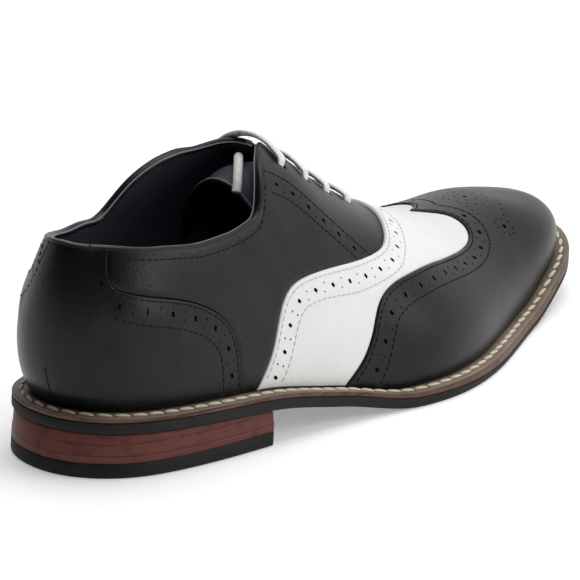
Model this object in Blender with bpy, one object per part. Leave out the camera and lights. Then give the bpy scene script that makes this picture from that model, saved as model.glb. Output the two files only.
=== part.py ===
"""Spectator shoe: a right wingtip oxford with a hollow upper on a welted sole with a stacked heel."""
import bpy
import numpy as np
from mathutils import Vector, geometry

# Driving sizes, in metres
LENGTH = 0.302            # outsole, heel to toe
SOLE_WIDTH = 0.107        # outsole across the ball
INSTEP_HEIGHT = 0.110     # top of the last above the ground
HEEL_RISE = 0.0166        # underside of the outsole above the ground, at the heel's back
TOE_SPRING = 0.0140       # underside of the outsole above the ground, at the toe
HEEL_LENGTH = 0.0745      # heel's back to its breast
LIFT_THICK = 0.0057       # rubber top piece under the heel
OUTSOLE_THICK = 0.0042
WELT_THICK = 0.0018
WELT_SHELF = 0.0065       # width of welt that shows outside the upper
INSOLE_RISE = 0.0016      # insole above the welt
GAP = 0.0003              # clearance between neighbouring pieces
WALL = 0.0018             # leather and lining of the upper
FACING_DEPTH = 0.0016     # upper's outer face below the last's surface
OVERLAY_FLOOR = 0.0007    # inner face of each overlay below the last's surface
QUARTER_RISE = 0.0        # outer faces of the overlays above the last's surface
VAMP_RISE = 0.0003
COUNTER_RISE = 0.0004
WING_RISE = 0.0009
THROAT_HALF = 0.0026      # half the gap between the two facings
TONGUE_THICK = 0.0016
TONGUE_CLEAR = 0.0007     # tongue below the upper's lining
LACE_RADIUS = 0.00165
LACE_CLEAR = 0.0005       # lace above the facings
HEEL_INSET = 0.0003       # heel pieces inside the outsole's edge

# Outline of the sole: share of the length from the heel's back, and share of the width,
# lateral side above 0
OUTLINE = [
    # along, side
    (0.000, 0.000), (0.035, 0.187), (0.120, 0.305), (0.250, 0.381), (0.400, 0.461),
    (0.520, 0.544), (0.640, 0.510), (0.760, 0.397), (0.870, 0.305), (0.955, 0.197),
    (1.000, 0.013), (0.955, -0.258), (0.870, -0.374), (0.760, -0.441), (0.660, -0.460),
    (0.520, -0.374), (0.400, -0.296), (0.250, -0.320), (0.120, -0.310), (0.035, -0.240)]

# Underside of the outsole: share of the length, share of the heel rise, share of the toe spring
UNDERSIDE = [
    # along, heel, toe
    (0.000, 1.000, 0.000), (0.120, 0.915, 0.000), (0.245, 0.790, 0.000), (0.360, 0.415, 0.000),
    (0.480, 0.000, 0.000), (0.720, 0.000, 0.000), (0.800, 0.000, 0.080), (0.900, 0.000, 0.590),
    (1.000, 0.000, 1.000)]

# Sections of the last from the heel's back to the toe, one row each. share: of the half outline's
# length. ridge_x, ridge_z: where the section meets the top line, shares of length and instep height.
# lean: how far the wall is pulled outwards, share of the length. rise: how high that pull acts, share
# of the instep height. crown: half breadth of the rounded top, share of the length. fall: how far the
# crown's edge lies below the top line, share of the instep height. _l lateral, _m medial.
SECTIONS = [
    # share, ridge_x, ridge_z, lean_l, lean_m, rise_l, rise_m, crown_l, crown_m, fall
    (0.000, 0.066, 1.000, 0.054, 0.054, 0.240, 0.240, 0.038, 0.038, 0.160),
    (0.090, 0.100, 1.005, 0.034, 0.050, 0.250, 0.240, 0.056, 0.058, 0.110),
    (0.155, 0.148, 1.008, 0.021, 0.038, 0.280, 0.270, 0.071, 0.073, 0.060),
    (0.220, 0.205, 1.002, 0.012, 0.026, 0.300, 0.300, 0.080, 0.082, 0.020),
    (0.280, 0.265, 0.975, 0.004, 0.016, 0.320, 0.320, 0.084, 0.084, 0.006),
    (0.333, 0.320, 0.925, 0.000, 0.012, 0.330, 0.330, 0.080, 0.082, 0.000),
    (0.382, 0.375, 0.858, 0.000, 0.010, 0.330, 0.330, 0.076, 0.080, 0.000),
    (0.433, 0.430, 0.757, 0.002, 0.008, 0.290, 0.290, 0.074, 0.078, 0.000),
    (0.517, 0.520, 0.606, 0.010, 0.010, 0.230, 0.230, 0.076, 0.078, 0.000),
    (0.585, 0.590, 0.509, 0.012, 0.012, 0.190, 0.190, 0.082, 0.082, 0.000),
    (0.653, 0.660, 0.430, 0.012, 0.012, 0.160, 0.160, 0.085, 0.085, 0.000),
    (0.750, 0.750, 0.377, 0.012, 0.012, 0.130, 0.130, 0.090, 0.090, 0.000),
    (0.840, 0.825, 0.363, 0.012, 0.012, 0.120, 0.120, 0.080, 0.088, 0.000),
    (0.925, 0.868, 0.348, 0.012, 0.012, 0.115, 0.115, 0.068, 0.074, 0.000),
    (1.000, 0.880, 0.343, 0.012, 0.012, 0.110, 0.110, 0.062, 0.062, 0.000)]

SIDES = ("lateral", "medial")
SPAN_STEPS = 24


def unit(vectors):
    """The same vectors at length 1."""
    return vectors / np.maximum(np.linalg.norm(vectors, axis=-1, keepdims=True), 1e-12)


def spline_bends(knots, values, closed):
    """Second derivatives at the knots of a cubic spline; an open one is level at both ends."""
    count = len(values)
    step = np.diff(knots)
    matrix = np.zeros((count, count))
    right = np.zeros(values.shape)
    for i in range(count):
        if closed or 0 < i:
            before, back = step[i - 1], values[i] - values[i - 1]
            matrix[i, i - 1] += before
            matrix[i, i] += 2 * before
            right[i] -= 6 * back / before
        if closed or i < count - 1:
            after, ahead = step[i], values[(i + 1) % count] - values[i]
            matrix[i, (i + 1) % count] += after
            matrix[i, i] += 2 * after
            right[i] += 6 * ahead / after
    return np.linalg.solve(matrix, right)


def spline_value(step, start, end, bend_start, bend_end, part):
    """Point at a part (0 to 1) of one span of a cubic spline."""
    rest = 1 - part
    bow = (rest ** 3 - rest) * bend_start + (part ** 3 - part) * bend_end
    return rest * start + part * end + step ** 2 / 6 * bow


def closed_spline(points):
    """Points along a smooth closed curve through the given ones, SPAN_STEPS for each span."""
    points = np.asarray(points, float)
    following = np.roll(points, -1, 0)
    knots = np.concatenate([[0], np.cumsum(np.linalg.norm(following - points, axis=1))])
    bends = spline_bends(knots, points, True)
    part = (np.arange(SPAN_STEPS) / SPAN_STEPS)[None, :, None]
    step = np.diff(knots)[:, None, None]
    spans = spline_value(step, points[:, None], following[:, None], bends[:, None],
                         np.roll(bends, -1, 0)[:, None], part)
    return spans.reshape(-1, points.shape[1])


def smooth_column(rows, column, at):
    """A column of a table as a smooth function of the first column, level at both ends."""
    table = np.asarray(rows, float)
    knots, values = table[:, 0], table[:, column]
    bends = spline_bends(knots, values, False)
    at = np.clip(at, knots[0], knots[-1])
    i = np.clip(np.searchsorted(knots, at) - 1, 0, len(knots) - 2)
    step = knots[i + 1] - knots[i]
    return spline_value(step, values[i], values[i + 1], bends[i], bends[i + 1],
                        (at - knots[i]) / step)


def steady_column(rows, column, at):
    """A column of a table as a curve that never passes the values of its rows."""
    table = np.asarray(rows, float)
    knots, values = table[:, 0], table[:, column]
    step = np.diff(knots)
    rate = np.diff(values) / step
    slope = np.zeros(len(knots))
    for i in range(1, len(rate)):
        if rate[i - 1] * rate[i] > 0:
            slope[i] = 2 / (1 / rate[i - 1] + 1 / rate[i])
    slope[0], slope[-1] = rate[0], rate[-1]
    at = np.clip(at, knots[0], knots[-1])
    i = np.clip(np.searchsorted(knots, at) - 1, 0, len(knots) - 2)
    part = (at - knots[i]) / step[i]
    return (values[i] + part * step[i] * slope[i]
            + part ** 2 * (3 * (values[i + 1] - values[i]) - step[i] * (2 * slope[i] + slope[i + 1]))
            + part ** 3 * (2 * (values[i] - values[i + 1]) + step[i] * (slope[i] + slope[i + 1])))


def underside(x):
    """Height of the outsole's underside above the ground."""
    along = np.asarray(x) / LENGTH
    return (HEEL_RISE * steady_column(UNDERSIDE, 1, along)
            + TOE_SPRING * steady_column(UNDERSIDE, 2, along))


def welt_top(x):
    """Height of the welt's upper face."""
    return underside(x) + OUTSOLE_THICK + WELT_THICK


def half_outlines():
    """The sole's edge and its outward directions, from the heel's back to the toe on each side."""
    curve = closed_spline([(along * LENGTH, -side * SOLE_WIDTH) for along, side in OUTLINE])
    curve = np.roll(curve, -np.argmin(curve[:, 0]), 0)
    tangent = unit(np.roll(curve, -1, 0) - np.roll(curve, 1, 0))
    outward = np.stack([tangent[:, 1], -tangent[:, 0]], -1)
    toe = np.argmax(curve[:, 0])
    back = np.concatenate([[0], np.arange(len(curve) - 1, toe - 1, -1)])
    halves = {}
    for side, index in (("lateral", np.arange(toe + 1)), ("medial", back)):
        line = curve[index]
        run = np.concatenate([[0], np.cumsum(np.linalg.norm(np.diff(line, axis=0), axis=1))])
        halves[side] = (run / run[-1], line, outward[index])
    return halves


HALVES = half_outlines()


def edge_point(side, share, inset):
    """Point of the sole's outline moved inwards, and the outward direction there."""
    run, line, outward = HALVES[side]
    place = np.stack([np.interp(share, run, line[:, k]) for k in (0, 1)], -1)
    out = unit(np.stack([np.interp(share, run, outward[:, k]) for k in (0, 1)], -1))
    return place - out * inset, out


def ridge_line(share):
    """The last's top line: its point and its slope along the shoe."""
    x = smooth_column(SECTIONS, 1, share) * LENGTH
    z = smooth_column(SECTIONS, 2, share) * INSTEP_HEIGHT
    samples = np.linspace(0.02, 0.98, 193)
    line_x = smooth_column(SECTIONS, 1, samples) * LENGTH
    line_z = smooth_column(SECTIONS, 2, samples) * INSTEP_HEIGHT
    slope = np.interp(x, line_x, np.gradient(line_z, line_x))
    return np.stack([x, np.zeros_like(x), z], -1), slope


def last_point(share, across):
    """Point of the last. share: along the half outline, 0 heel to 1 toe. across: -1 at the lateral
    feather edge, 0 on the top line, 1 at the medial feather edge."""
    share, across = np.broadcast_arrays(np.asarray(share, float), np.asarray(across, float))
    ridge, slope = ridge_line(share)
    result = np.zeros(share.shape + (3,))
    for k, side in enumerate(SIDES):
        place, out = edge_point(side, share, WELT_SHELF)
        foot = np.concatenate([place, (welt_top(place[..., 0]) + GAP)[..., None]], -1)
        lean = (smooth_column(SECTIONS, 3 + k, share) * LENGTH)[..., None]
        rise = (smooth_column(SECTIONS, 5 + k, share) * INSTEP_HEIGHT)[..., None]
        crown = (smooth_column(SECTIONS, 7 + k, share) * LENGTH)[..., None]
        fall = smooth_column(SECTIONS, 9, share) * INSTEP_HEIGHT
        pull = foot + np.concatenate([out * lean, rise], -1)
        flat = unit(place - ridge[..., :2])
        edge = ridge + crown * np.concatenate([flat, (slope * flat[..., 0])[..., None]], -1)
        edge[..., 2] -= fall
        t = (1 - np.abs(across))[..., None]
        s = 1 - t
        profile = s ** 3 * foot + 3 * s * s * t * pull + 3 * s * t * t * edge + t ** 3 * ridge
        chosen = across <= 0 if side == "lateral" else across > 0
        result[chosen] = profile[chosen]
    return result


# The collar's edge: share along the half outline, and how far down from the top line it lies
TOPLINE = [
    # share, lateral, medial
    (0.000, 0.378, 0.378), (0.060, 0.397, 0.415), (0.116, 0.449, 0.475), (0.150, 0.476, 0.509),
    (0.186, 0.501, 0.526), (0.217, 0.506, 0.530), (0.249, 0.501, 0.440), (0.270, 0.486, 0.387),
    (0.286, 0.458, 0.352), (0.302, 0.377, 0.322), (0.317, 0.296, 0.294), (0.342, 0.187, 0.240),
    (0.361, 0.111, 0.150), (0.385, 0.040, 0.040)]
THROAT_TOP = 0.385        # share where collar and throat meet
THROAT_END = 0.578        # share where the facings meet

# Seams of the pattern, the same on both sides: share along the half outline, and down from the top line
WING_EDGE = [
    # share, down
    (0.698, 0.000), (0.724, 0.050), (0.738, 0.105), (0.738, 0.180), (0.727, 0.266), (0.712, 0.326),
    (0.676, 0.390), (0.615, 0.447), (0.558, 0.499), (0.516, 0.549), (0.481, 0.600), (0.456, 0.659),
    (0.441, 0.724), (0.430, 0.802), (0.420, 0.868), (0.407, 0.934), (0.390, 1.000)]
VAMP_EDGE = [
    # share, down
    (0.578, 0.000), (0.572, 0.073), (0.561, 0.173), (0.540, 0.279), (0.520, 0.362), (0.494, 0.444),
    (0.467, 0.495), (0.440, 0.540), (0.416, 0.579), (0.379, 0.628), (0.337, 0.665), (0.320, 0.688),
    (0.307, 0.724), (0.299, 0.765), (0.291, 0.831), (0.283, 0.898), (0.264, 1.000)]
SEAM_ROW = 6              # row of the vamp edge where the facing seam ends
FACING_SEAM = [
    # share, down
    (0.320, 0.287), (0.334, 0.291), (0.375, 0.353), (0.402, 0.400), (0.430, 0.435), (0.467, 0.495)]
COUNTER_EDGE = [
    # share, down
    (0.060, 0.397), (0.063, 0.514), (0.080, 0.556), (0.111, 0.594), (0.171, 0.663), (0.213, 0.743),
    (0.233, 0.848), (0.240, 1.000)]

# Tongue: share, half breadth down from the top line, and how far it sags, share of the instep height
TONGUE = [
    # share, half, sag
    (0.325, 0.335, 0.135), (0.345, 0.340, 0.098), (0.370, 0.325, 0.060), (0.400, 0.310, 0.026),
    (0.440, 0.300, 0.005), (0.520, 0.270, 0.000), (0.600, 0.200, 0.000)]

# Lace holes: share along the half outline, and down from the top line
LACE_HOLES = [
    # share, down
    (0.372, 0.225), (0.419, 0.215), (0.467, 0.185), (0.514, 0.160)]

# Free end of the lace inside the shoe, resting on the tongue: x from the heel's back, y to the
# medial side, z above the ground
LACE_END = [
    (0.1138, 0.0078, 0.0848), (0.1128, 0.0070, 0.0855), (0.1118, 0.0063, 0.0862),
    (0.1103, 0.0052, 0.0870), (0.1075, 0.0033, 0.0881), (0.1045, 0.0012, 0.0885),
    (0.1015, -0.0010, 0.0884), (0.0980, -0.0035, 0.0874), (0.0950, -0.0056, 0.0861),
    (0.0934, -0.0067, 0.0851), (0.0918, -0.0078, 0.0837), (0.0904, -0.0086, 0.0817)]

SECTION_COUNT = 42        # sections on each side of the upper
LEVEL_COUNT = 10          # steps from the feather edge to the collar
SOLE_STEPS = 36           # steps along the sole pieces
PANEL_STEP = 0.0060       # spacing of an overlay's points
SEAM_STEP = 0.0050        # spacing of points along a seam
ARC_STEPS = 16
PROBE = 1e-4              # step of share and across when a direction is measured

for item in list(bpy.data.objects):
    bpy.data.objects.remove(item, do_unlink=True)


def leather(name, colour, roughness):
    """A plain material of one colour."""
    material = bpy.data.materials.new(name)
    material.use_nodes = True
    shader = material.node_tree.nodes["Principled BSDF"]
    shader.inputs["Base Color"].default_value = (*colour, 1.0)
    shader.inputs["Roughness"].default_value = roughness
    shader.inputs["Metallic"].default_value = 0.0
    return material


def centre_of_sole():
    """Middle of the sole's outline in plan."""
    corners = np.vstack([HALVES[side][1] for side in SIDES])
    return (corners.min(0) + corners.max(0)) / 2


ORIGIN = np.append(centre_of_sole(), 0.0)


def place_mesh(name, points, faces, material):
    """A closed solid from points measured from the heel's back, moved to the shoe's own origin."""
    mesh = bpy.data.meshes.new(name)
    mesh.from_pydata([tuple(point) for point in np.asarray(points) - ORIGIN], [], faces)
    mesh.validate()
    mesh.materials.append(material)
    solid = bpy.data.objects.new(name, mesh)
    bpy.context.collection.objects.link(solid)
    mesh.shade_smooth()
    mesh.set_sharp_from_angle(angle=np.radians(40))
    return solid


def surface_normal(share, across):
    """Outward direction of the last's surface."""
    before, after = np.maximum(share - PROBE, 0), np.minimum(share + PROBE, 1)
    low, high = np.maximum(across - PROBE, -1), np.minimum(across + PROBE, 1)
    along = last_point(after, across) - last_point(before, across)
    around = last_point(share, high) - last_point(share, low)
    normal = unit(np.cross(along, around))
    slope = ridge_line(share)[1]
    top = unit(np.stack([-slope, np.zeros_like(slope), np.ones_like(slope)], -1))
    return np.where(np.abs(across)[..., None] < 2 * PROBE, top, normal)


def skin_point(share, across, height):
    """Point at a height above the last's surface, never below the welt's upper face."""
    share, across = np.broadcast_arrays(np.asarray(share, float), np.asarray(across, float))
    normal = surface_normal(share, across)
    for side, hem in (("lateral", across <= -1), ("medial", across >= 1)):
        level = np.concatenate([edge_point(side, share, 0)[1], np.zeros(share.shape + (1,))], -1)
        normal = np.where(hem[..., None], level, normal)
    point = last_point(share, across) + normal * height
    seat = welt_top(point[..., 0]) + GAP
    point[..., 2] = np.where(np.abs(across) >= 1, seat, np.maximum(point[..., 2], seat))
    return point


def collar_down(share, side):
    """How far down from the top line the upper's free edge lies: collar, then throat, then none."""
    column = 1 + SIDES.index(side)
    crown = smooth_column(SECTIONS, 6 + column, share) * LENGTH
    throat = THROAT_HALF / (3 * crown)
    collar = smooth_column(TOPLINE, column, share)
    open_part = np.where(share < THROAT_TOP, np.maximum(collar, throat), throat)
    return np.where(share < THROAT_END, open_part, 0.0)


def section_shares():
    """Shares of the upper's sections, with one on each end of the throat."""
    spread = np.linspace(0, 1, SECTION_COUNT + 1)
    for mark in (THROAT_TOP, THROAT_END):
        spread[np.argmin(np.abs(spread - mark))] = mark
    return spread


def make_upper(material):
    """The hollow upper: one wall from the welt to the collar and throat, open at top and bottom."""
    shares = section_shares()
    stations = [(share, "lateral") for share in shares]
    stations += [(share, "medial") for share in shares[-2:0:-1]]
    points, index = [], {}

    def corner(station, level, height):
        share, side = stations[station % len(stations)]
        down = 1 - level / LEVEL_COUNT * (1 - float(collar_down(share, side)))
        key = (share, side if down > 0 else "top", level, height)
        if key not in index:
            across = -down if side == "lateral" else down
            index[key] = len(points)
            points.append(skin_point(share, across, height))
        return index[key]

    outer, inner = -FACING_DEPTH, -FACING_DEPTH - WALL
    faces = []
    for i in range(len(stations)):
        for level in range(LEVEL_COUNT):
            ring = [(i, level), (i + 1, level), (i + 1, level + 1), (i, level + 1)]
            faces.append([corner(*place, outer) for place in ring])
            faces.append([corner(*place, inner) for place in reversed(ring)])
        faces.append([corner(i, 0, outer), corner(i, 0, inner), corner(i + 1, 0, inner),
                      corner(i + 1, 0, outer)])
        rim = [corner(i, LEVEL_COUNT, outer), corner(i + 1, LEVEL_COUNT, outer),
               corner(i + 1, LEVEL_COUNT, inner), corner(i, LEVEL_COUNT, inner)]
        share, following = stations[i][0], stations[(i + 1) % len(stations)][0]
        if min(share, following) < THROAT_END:
            faces.append(rim)
    faces = [clean for clean in (list(dict.fromkeys(face)) for face in faces) if len(clean) > 2]
    return place_mesh("upper", points, faces, material)


def seam_curve(rows):
    """A smooth line through a seam's rows, as pairs of share and down, with the rows' own places."""
    rows = np.asarray(rows, float)
    weight = np.array([np.pi * LENGTH / 3, LENGTH / 3])
    scaled = rows * weight
    knots = np.concatenate([[0], np.cumsum(np.linalg.norm(np.diff(scaled, axis=0), axis=1))])
    bends = spline_bends(knots, scaled, False)
    line = [scaled[0]]
    marks = [0]
    for i in range(len(rows) - 1):
        count = max(1, round((knots[i + 1] - knots[i]) / SEAM_STEP))
        part = (np.arange(1, count + 1) / count)[:, None]
        line.extend(spline_value(knots[i + 1] - knots[i], scaled[i], scaled[i + 1], bends[i],
                                 bends[i + 1], part))
        marks.append(len(line) - 1)
    return np.array(line) / weight, marks


def shares_between(start, end):
    """Shares from one to another, SEAM_STEP apart along the sole's edge."""
    count = max(1, round(abs(end - start) * LENGTH * 1.1 / SEAM_STEP))
    return np.linspace(start, end, count + 1)


def signed(line, side):
    """Pairs of share and down as pairs of share and across."""
    line = np.array(line, float)
    line[:, 1] *= -1 if side == "lateral" else 1
    return line


def feather(start, end, side):
    """The upper's bottom edge as pairs of share and across."""
    shares = shares_between(start, end)
    return signed(np.column_stack([shares, np.ones_like(shares)]), side)


def collar(start, end, side):
    """The collar's edge as pairs of share and across."""
    shares = shares_between(start, end)
    return signed(np.column_stack([shares, collar_down(shares, side)]), side)


def flat_pattern(places):
    """Each place of the last laid out flat: from the top line outwards by its length on the skin."""
    share, across = places[:, 0], places[:, 1]
    parts = np.linspace(0, 1, ARC_STEPS + 1)
    sign = np.where(across > 0, 1.0, -1.0)

    def arc(reach):
        run = last_point(share[:, None], (sign * reach)[:, None] * parts)
        return np.linalg.norm(np.diff(run, axis=1), axis=2).sum(1)

    ridge = ridge_line(share)[0][:, :2]
    foot = last_point(share, sign)[:, :2]
    outward = np.stack([edge_point("lateral", share, 0)[1], edge_point("medial", share, 0)[1]])
    outward = np.where((across > 0)[:, None], outward[1], outward[0])
    spare = arc(np.ones_like(across)) - np.linalg.norm(foot - ridge, axis=1)
    direction = unit(foot + outward * spare[:, None] - ridge)
    return ridge + direction * arc(np.abs(across))[:, None]


def inside(outline, spots):
    """Which of the spots lie inside a closed outline."""
    start, end = outline, np.roll(outline, -1, 0)
    x, y = spots[:, :1], spots[:, 1:]
    crossing = (start[:, 1] > y) != (end[:, 1] > y)
    rise = np.where(end[:, 1] == start[:, 1], 1e-12, end[:, 1] - start[:, 1])
    at = start[:, 0] + (y - start[:, 1]) / rise * (end[:, 0] - start[:, 0])
    return (crossing & (x < at)).sum(1) % 2 == 1


def shrink(outline, places, amount):
    """Moves an outline inwards on the flat pattern, in terms of share and across."""
    ahead, behind = np.roll(outline, -1, 0) - outline, outline - np.roll(outline, 1, 0)
    normal = np.stack([unit(ahead)[:, 1] + unit(behind)[:, 1],
                       -unit(ahead)[:, 0] - unit(behind)[:, 0]], -1) / 2
    normal /= np.maximum((normal ** 2).sum(1, keepdims=True), 0.25)
    area = np.cross(outline, np.roll(outline, -1, 0)).sum()
    target = -np.sign(area) * amount * normal
    step = np.array([[2e-4, 0], [0, 2e-4]])
    inner = np.where(np.abs(places) > 0.999, -np.sign(places), 1.0)
    share_step = np.where(places[:, 0] > 0.5, -1.0, 1.0)
    across_step = np.where(places[:, 1] > 0, -1.0, 1.0)
    by_share = (flat_pattern(places + share_step[:, None] * step[0]) - outline) / share_step[:, None]
    by_across = (flat_pattern(places + across_step[:, None] * step[1]) - outline)
    by_across /= across_step[:, None]
    matrix = np.stack([by_share, by_across], -1) / 2e-4
    move = np.linalg.solve(matrix, target[:, :, None])[:, :, 0]
    fixed = np.abs(places[:, 1]) >= 1
    move[fixed, 1] = 0
    result = places + move
    result[:, 1] = np.clip(result[:, 1], -1, 1)
    result[:, 0] = np.clip(result[:, 0], 0, 1)
    return result


def inner_places(outline, spacing):
    """Evenly spread places inside an outline on the flat pattern."""
    kept = []
    kept_flat = outline
    for share in np.arange(spacing / LENGTH / 2, 1, spacing / LENGTH * 0.9):
        for side in (-1, 1):
            length = np.linalg.norm(np.diff(last_point(share, side * np.linspace(0, 1, 9)), axis=0),
                                    axis=1).sum()
            downs = np.arange(0.5, max(1, round(length / spacing))) * spacing / length
            places = np.column_stack([np.full_like(downs, share), side * downs])
            flat = flat_pattern(places)
            within = inside(outline, flat)
            for place, spot in zip(places[within], flat[within]):
                if np.linalg.norm(kept_flat - spot, axis=1).min() > spacing * 0.62:
                    kept.append(place)
                    kept_flat = np.vstack([kept_flat, spot])
    return np.array(kept)


def make_overlay(name, border, rise, material):
    """A leather panel over the upper, cut between two faces of the last's own surface."""
    border = np.vstack(border)
    keep = np.abs(np.diff(border, axis=0, append=border[:1])).max(1) > 1e-9
    border = border[keep]
    border = shrink(flat_pattern(border), border, GAP * 0.7)
    outline = flat_pattern(border)
    places = np.vstack([border, inner_places(outline, PANEL_STEP)])
    flat = flat_pattern(places)
    count = len(border)
    edges = [(i, (i + 1) % count) for i in range(count)]
    spots, _, triangles, origin = geometry.delaunay_2d_cdt(
        [Vector(spot) for spot in flat], edges, [], 0, 1e-7)[:4]
    if len(spots) != len(flat):
        raise ValueError(name + ": the border crosses itself")
    middle = np.array([np.mean([spots[k] for k in face], 0) for face in triangles])
    chosen = [face for face, within in zip(triangles, inside(outline, middle)) if within]
    outer = skin_point(places[:, 0], places[:, 1], rise)
    inner = skin_point(places[:, 0], places[:, 1], -OVERLAY_FLOOR)
    shift = len(places)
    faces = [list(face) for face in chosen]
    faces += [[k + shift for k in reversed(face)] for face in chosen]
    sides = {(face[k], face[(k + 1) % 3]) for face in chosen for k in range(3)}
    for start, end in sorted(sides):
        if (end, start) not in sides:
            faces.append([end, start, start + shift, end + shift])
    return place_mesh(name, np.vstack([outer, inner]), faces, material)


def on_collar(rows, side):
    """A seam's rows with the first one moved onto the collar's edge."""
    return [(rows[0][0], float(collar_down(rows[0][0], side)))] + list(rows[1:])


def make_wing(material):
    """The toe's wing cap, with its point on the top line and its ends back along both sides."""
    seam, _ = seam_curve(WING_EDGE)
    heel = WING_EDGE[-1][0]
    border = [signed(seam[::-1], "lateral"), signed(seam[1:], "medial"),
              feather(heel, 1, "medial"), feather(1, heel, "lateral")[1:-1]]
    return make_overlay("wingtip", border, WING_RISE, material)


def make_vamp(material):
    """The light band across the forefoot, between the facings and the wing cap."""
    rear, _ = seam_curve(VAMP_EDGE)
    front, _ = seam_curve(WING_EDGE)
    rear_foot, front_foot = VAMP_EDGE[-1][0], WING_EDGE[-1][0]
    border = [signed(rear[::-1], "lateral"), signed(rear[1:], "medial"),
              feather(rear_foot, front_foot, "medial")[1:-1],
              signed(front[::-1], "medial"), signed(front[1:], "lateral"),
              feather(front_foot, rear_foot, "lateral")[1:-1]]
    return make_overlay("vamp", border, VAMP_RISE, material)


def make_quarter(side, material):
    """One side of the shoe from the counter to the facing and the vamp."""
    heel, _ = seam_curve(on_collar(COUNTER_EDGE, side))
    facing, _ = seam_curve(on_collar(FACING_SEAM, side))
    vamp, marks = seam_curve(VAMP_EDGE)
    border = [collar(COUNTER_EDGE[0][0], FACING_SEAM[0][0], side)[:-1], signed(facing, side)[:-1],
              signed(vamp[marks[SEAM_ROW]:], side),
              feather(VAMP_EDGE[-1][0], COUNTER_EDGE[-1][0], side)[1:-1],
              signed(heel[::-1], side)[:-1]]
    return make_overlay("quarter_" + side, border, QUARTER_RISE, material)


def make_counter(material):
    """The heel panel round the back, from the collar to the welt."""
    top, foot = COUNTER_EDGE[0][0], COUNTER_EDGE[-1][0]
    lateral, _ = seam_curve(on_collar(COUNTER_EDGE, "lateral"))
    medial, _ = seam_curve(on_collar(COUNTER_EDGE, "medial"))
    border = [collar(top, 0, "lateral")[:-1], collar(0, top, "medial"),
              signed(medial, "medial")[1:-1], feather(foot, 0, "medial"),
              feather(0, foot, "lateral")[1:], signed(lateral[::-1], "lateral")[1:-1]]
    return make_overlay("counter", border, COUNTER_RISE, material)


def make_plate(name, inset, low, high, material, end=None):
    """A sole piece inside the outline, from the heel's back to the toe, or to a straight end."""
    dense = np.linspace(0, 1, 401)
    edges = {}
    for side in SIDES:
        line = edge_point(side, dense, inset)[0]
        edges[side] = (np.maximum.accumulate(line[:, 0]), line[:, 1])
    start = edges["lateral"][0][0]
    turn = np.linspace(0, 1, SOLE_STEPS + 1)
    if end is None:
        spread = start + (edges["lateral"][0][-1] - start) * (1 - np.cos(np.pi * turn)) / 2
    else:
        turn = turn[::2]
        spread = start + (end - start) * (1 - np.cos(np.pi / 2 * turn))
    points, rows = [], []
    for k, x in enumerate(spread):
        tip = k == 0 or (end is None and k == len(spread) - 1)
        across = [np.interp(x, *edges[side]) for side in (("lateral",) if tip else SIDES)]
        first = len(points)
        points += [(x, y, low(x)) for y in across] + [(x, y, high(x)) for y in across]
        count = len(across)
        rows.append((first, first + count - 1, first + count, first + 2 * count - 1))
    faces = []
    for (a, b, c, d), (e, f, g, h) in zip(rows, rows[1:]):
        faces += [[a, b, f, e], [c, g, h, d], [a, e, g, c], [b, d, h, f]]
    if end is not None:
        a, b, c, d = rows[-1]
        faces.append([a, b, d, c])
    faces = [clean for clean in (list(dict.fromkeys(face)) for face in faces) if len(clean) > 2]
    return place_mesh(name, points, faces, material)


def make_welt(inset, material):
    """The strip round the shoe on which the upper stands."""
    shares = np.linspace(0, 1, SECTION_COUNT + 1)
    stations = [(share, "lateral") for share in shares]
    stations += [(share, "medial") for share in shares[-2:0:-1]]
    points = []
    for share, side in stations:
        outer, inner = (edge_point(side, share, reach)[0] for reach in (0, inset))
        for x, y in (outer, inner):
            points += [(x, y, underside(x) + OUTSOLE_THICK), (x, y, welt_top(x))]
    faces = []
    count = len(stations)
    for i in range(count):
        a, b, c, d = (4 * i + k for k in range(4))
        e, f, g, h = (4 * ((i + 1) % count) + k for k in range(4))
        faces += [[a, e, f, b], [c, d, h, g], [b, f, h, d], [a, c, g, e]]
    return place_mesh("welt", points, faces, material)


def make_tongue(material):
    """The tongue under the facings, sagging towards its free end inside the collar."""
    table = np.asarray(TONGUE)
    shares = np.linspace(table[0, 0], table[-1, 0], 19)
    halves = smooth_column(TONGUE, 1, shares)
    sags = smooth_column(TONGUE, 2, shares) * INSTEP_HEIGHT
    columns = np.linspace(-1, 1, 11)
    top = -(FACING_DEPTH + WALL + TONGUE_CLEAR)
    layers = []
    for height in (top, top - TONGUE_THICK):
        sheet = skin_point(shares[:, None], halves[:, None] * columns, height)
        sheet[..., 2] -= sags[:, None]
        layers.append(sheet.reshape(-1, 3))
    width, shift = len(columns), len(layers[0])
    faces = []
    for i in range(len(shares) - 1):
        for j in range(width - 1):
            a = i * width + j
            ring = [a, a + width, a + width + 1, a + 1]
            faces.append(ring)
            faces.append([k + shift for k in reversed(ring)])
    for i in range(len(shares) - 1):
        for a, b in ((i * width, (i + 1) * width), ((i + 2) * width - 1, (i + 1) * width - 1)):
            faces.append([b, a, a + shift, b + shift])
    last = (len(shares) - 1) * width
    for j in range(width - 1):
        for a, b in ((j + 1, j), (last + j, last + j + 1)):
            faces.append([b, a, a + shift, b + shift])
    return place_mesh("tongue", np.vstack(layers), faces, material)


def make_cord(name, route, material):
    """A round cord along a route of points measured from the heel's back."""
    curve = bpy.data.curves.new(name, "CURVE")
    curve.dimensions = "3D"
    curve.bevel_depth = LACE_RADIUS
    curve.bevel_resolution = 2
    curve.use_fill_caps = True
    line = curve.splines.new("POLY")
    line.points.add(len(route) - 1)
    for point, place in zip(line.points, np.asarray(route) - ORIGIN):
        point.co = (*place, 1.0)
    curve.materials.append(material)
    cord = bpy.data.objects.new(name, curve)
    bpy.context.collection.objects.link(cord)
    return cord


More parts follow.
